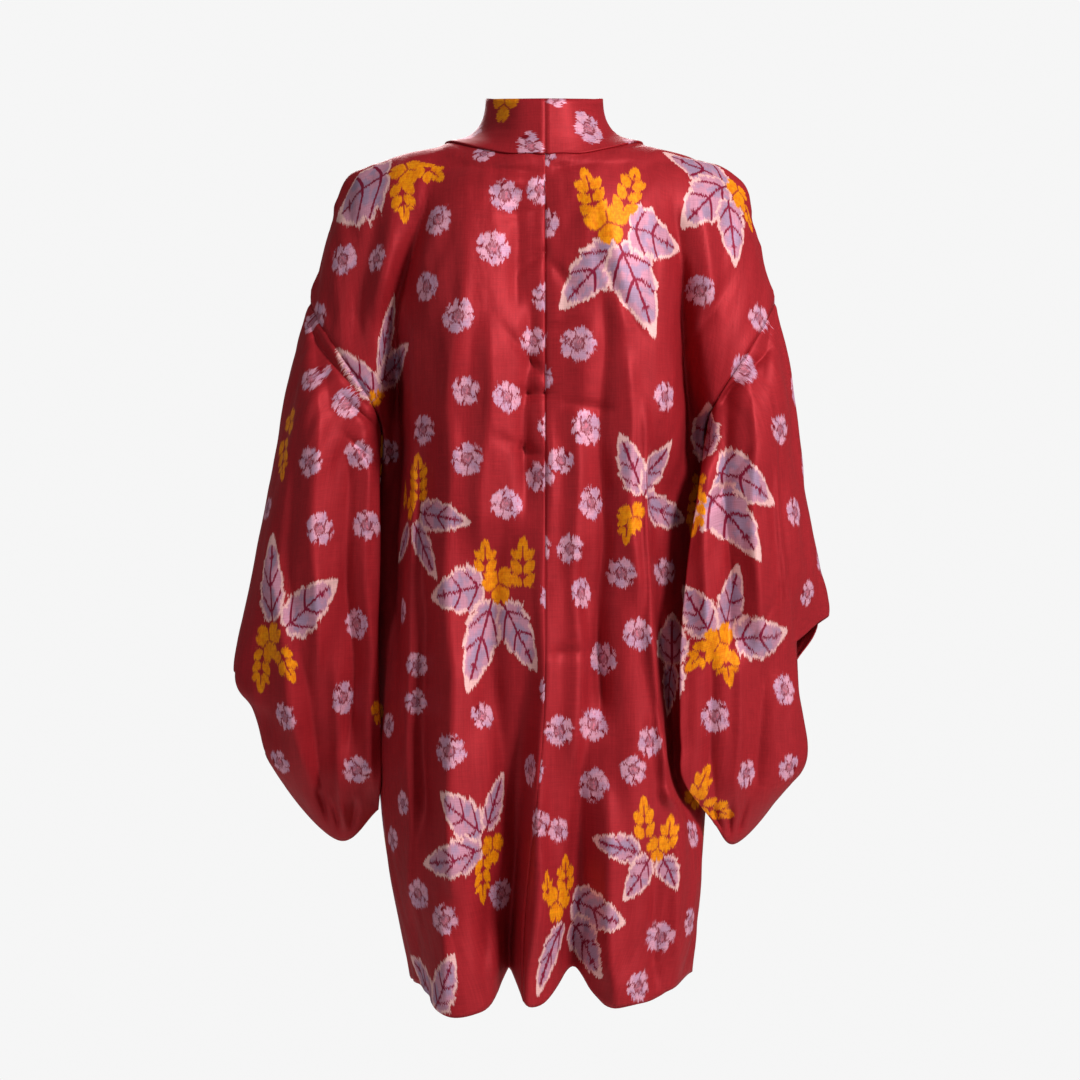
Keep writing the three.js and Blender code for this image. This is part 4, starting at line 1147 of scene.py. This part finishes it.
def make_gusset(side, name, seed):
    """The strip between the side seams, below the armhole."""
    steps = np.linspace(0, 1, GUSSET_ROWS + 1)
    front_at = AT["front armpit"] + (AT["front hem"] - AT["front armpit"]) * steps
    back, front = (body_points(side, at, np.array([1.0]))[:, 0] for at in (AT["armpit"] * (1 - steps), front_at))
    share = np.linspace(0, 1, GUSSET_COLUMNS + 1)
    grid = back[:, None] * (1 - share[None, :, None]) + front[:, None] * share[None, :, None]
    p, q = cloth_places(grid, side, upward=False)
    normals = outward(grid)
    inner = distance_across(grid)
    edge = np.minimum(inner, inner[:, -1:] - inner)
    bow = GUSSET_BOW * smooth(-grid[..., 2], 248, 270) * (1 - 0.8 * smooth(-grid[..., 2], 380, 560))
    grid[..., 0] += side * bow * np.sin(np.pi * share)
    grid = grid + normals * seam_tuck(edge)[..., None]
    return build_sheet(name, grid, normals, p, q, False, seed)


# ---- Stage, lights and camera
# name, place, place that it points at, width and height, power; the sizes are in metres
MIDDLE = (0, 0, -0.36)
LIGHTS = [
    ("key", (-1.6, 1.7, 1.3), MIDDLE, (0.5, 0.5), 79),
    ("fill", (1.9, 1.8, 0.6), MIDDLE, (0.6, 0.8), 11),
    ("side", (-2.0, 1.0, -0.1), (-0.2, 0, -0.4), (0.5, 1.0), 13),
    ("front", (0.3, -2.6, 1.4), MIDDLE, (1.6, 1.2), 60),
]


def make_stage():
    """A round pale floor, below the camera's frame."""
    turns = [2 * math.pi * step / FLOOR_SIDES for step in range(FLOOR_SIDES)]
    mesh = bpy.data.meshes.new("floor")
    mesh.from_pydata([(FLOOR_RADIUS * math.cos(a), FLOOR_RADIUS * math.sin(a), FLOOR_Z) for a in turns], [],
                     [tuple(range(FLOOR_SIDES))])
    mesh.materials.append(floor_material("pale_floor"))
    floor = add_object("floor", mesh)


def make_lights():
    """Four area lights, and a white world that is dim on the part and pale behind it."""
    for name, place, target, size, power in LIGHTS:
        light = bpy.data.lights.new(name, "AREA")
        light.shape = "RECTANGLE"
        light.size, light.size_y = size
        light.energy = power
        lamp = add_object(name, light)
        lamp.location = place
        lamp.rotation_euler = (Vector(target) - Vector(place)).to_track_quat("-Z", "Y").to_euler()
    world = bpy.data.worlds.new("studio")
    world.use_nodes = True
    tree = world.node_tree
    seen, lit = tree.nodes["Background"], tree.nodes.new("ShaderNodeBackground")
    for background, strength in ((seen, WORLD_SEEN), (lit, WORLD_LIT)):
        background.inputs["Color"].default_value = (1, 1, 1, 1)
        background.inputs["Strength"].default_value = strength
    path, mix = tree.nodes.new("ShaderNodeLightPath"), tree.nodes.new("ShaderNodeMixShader")
    tree.links.new(path.outputs["Is Camera Ray"], mix.inputs[0])
    tree.links.new(lit.outputs[0], mix.inputs[1])
    tree.links.new(seen.outputs[0], mix.inputs[2])
    tree.links.new(mix.outputs[0], tree.nodes["World Output"].inputs["Surface"])
    bpy.context.scene.world = world


def make_camera():
    camera = bpy.data.cameras.new("camera")
    camera.sensor_width = SENSOR
    camera.lens = SENSOR * CAMERA_DISTANCE / VIEW_WIDTH
    holder = add_object("camera", camera)
    holder.location = (CAMERA_X * MM, CAMERA_DISTANCE * MM, CAMERA_Z * MM)
    holder.rotation_euler = (math.radians(90), 0, math.radians(180))
    bpy.context.scene.camera = holder


# name, maker, seeds of the left and right piece, then width and length, and area, of the flat cut in metres, as far
# as the piece shows
PIECES = [
    ("body", make_body, (11, 23), (0.25, 1.65), 0.285),
    ("sleeve", make_sleeve, (31, 43), (0.36, 0.46), 0.125),
    ("collar", make_collar, (53, 61), (0.055, 0.98), 0.053),
    ("side_gusset", make_gusset, (71, 83), (0.065, 0.50), 0.032),
]

make_camera()
silk = silk_material("silk_kasuri")
for kind, make, seeds, flat, area in PIECES:
    for side, hand, seed in ((LEFT, "left", seeds[0]), (RIGHT, "right", seeds[1])):
        piece = make(side, kind + "_" + hand, seed)
        piece.data.materials.append(silk)

make_stage()
make_lights()
bpy.context.scene.view_settings.view_transform = "Standard"
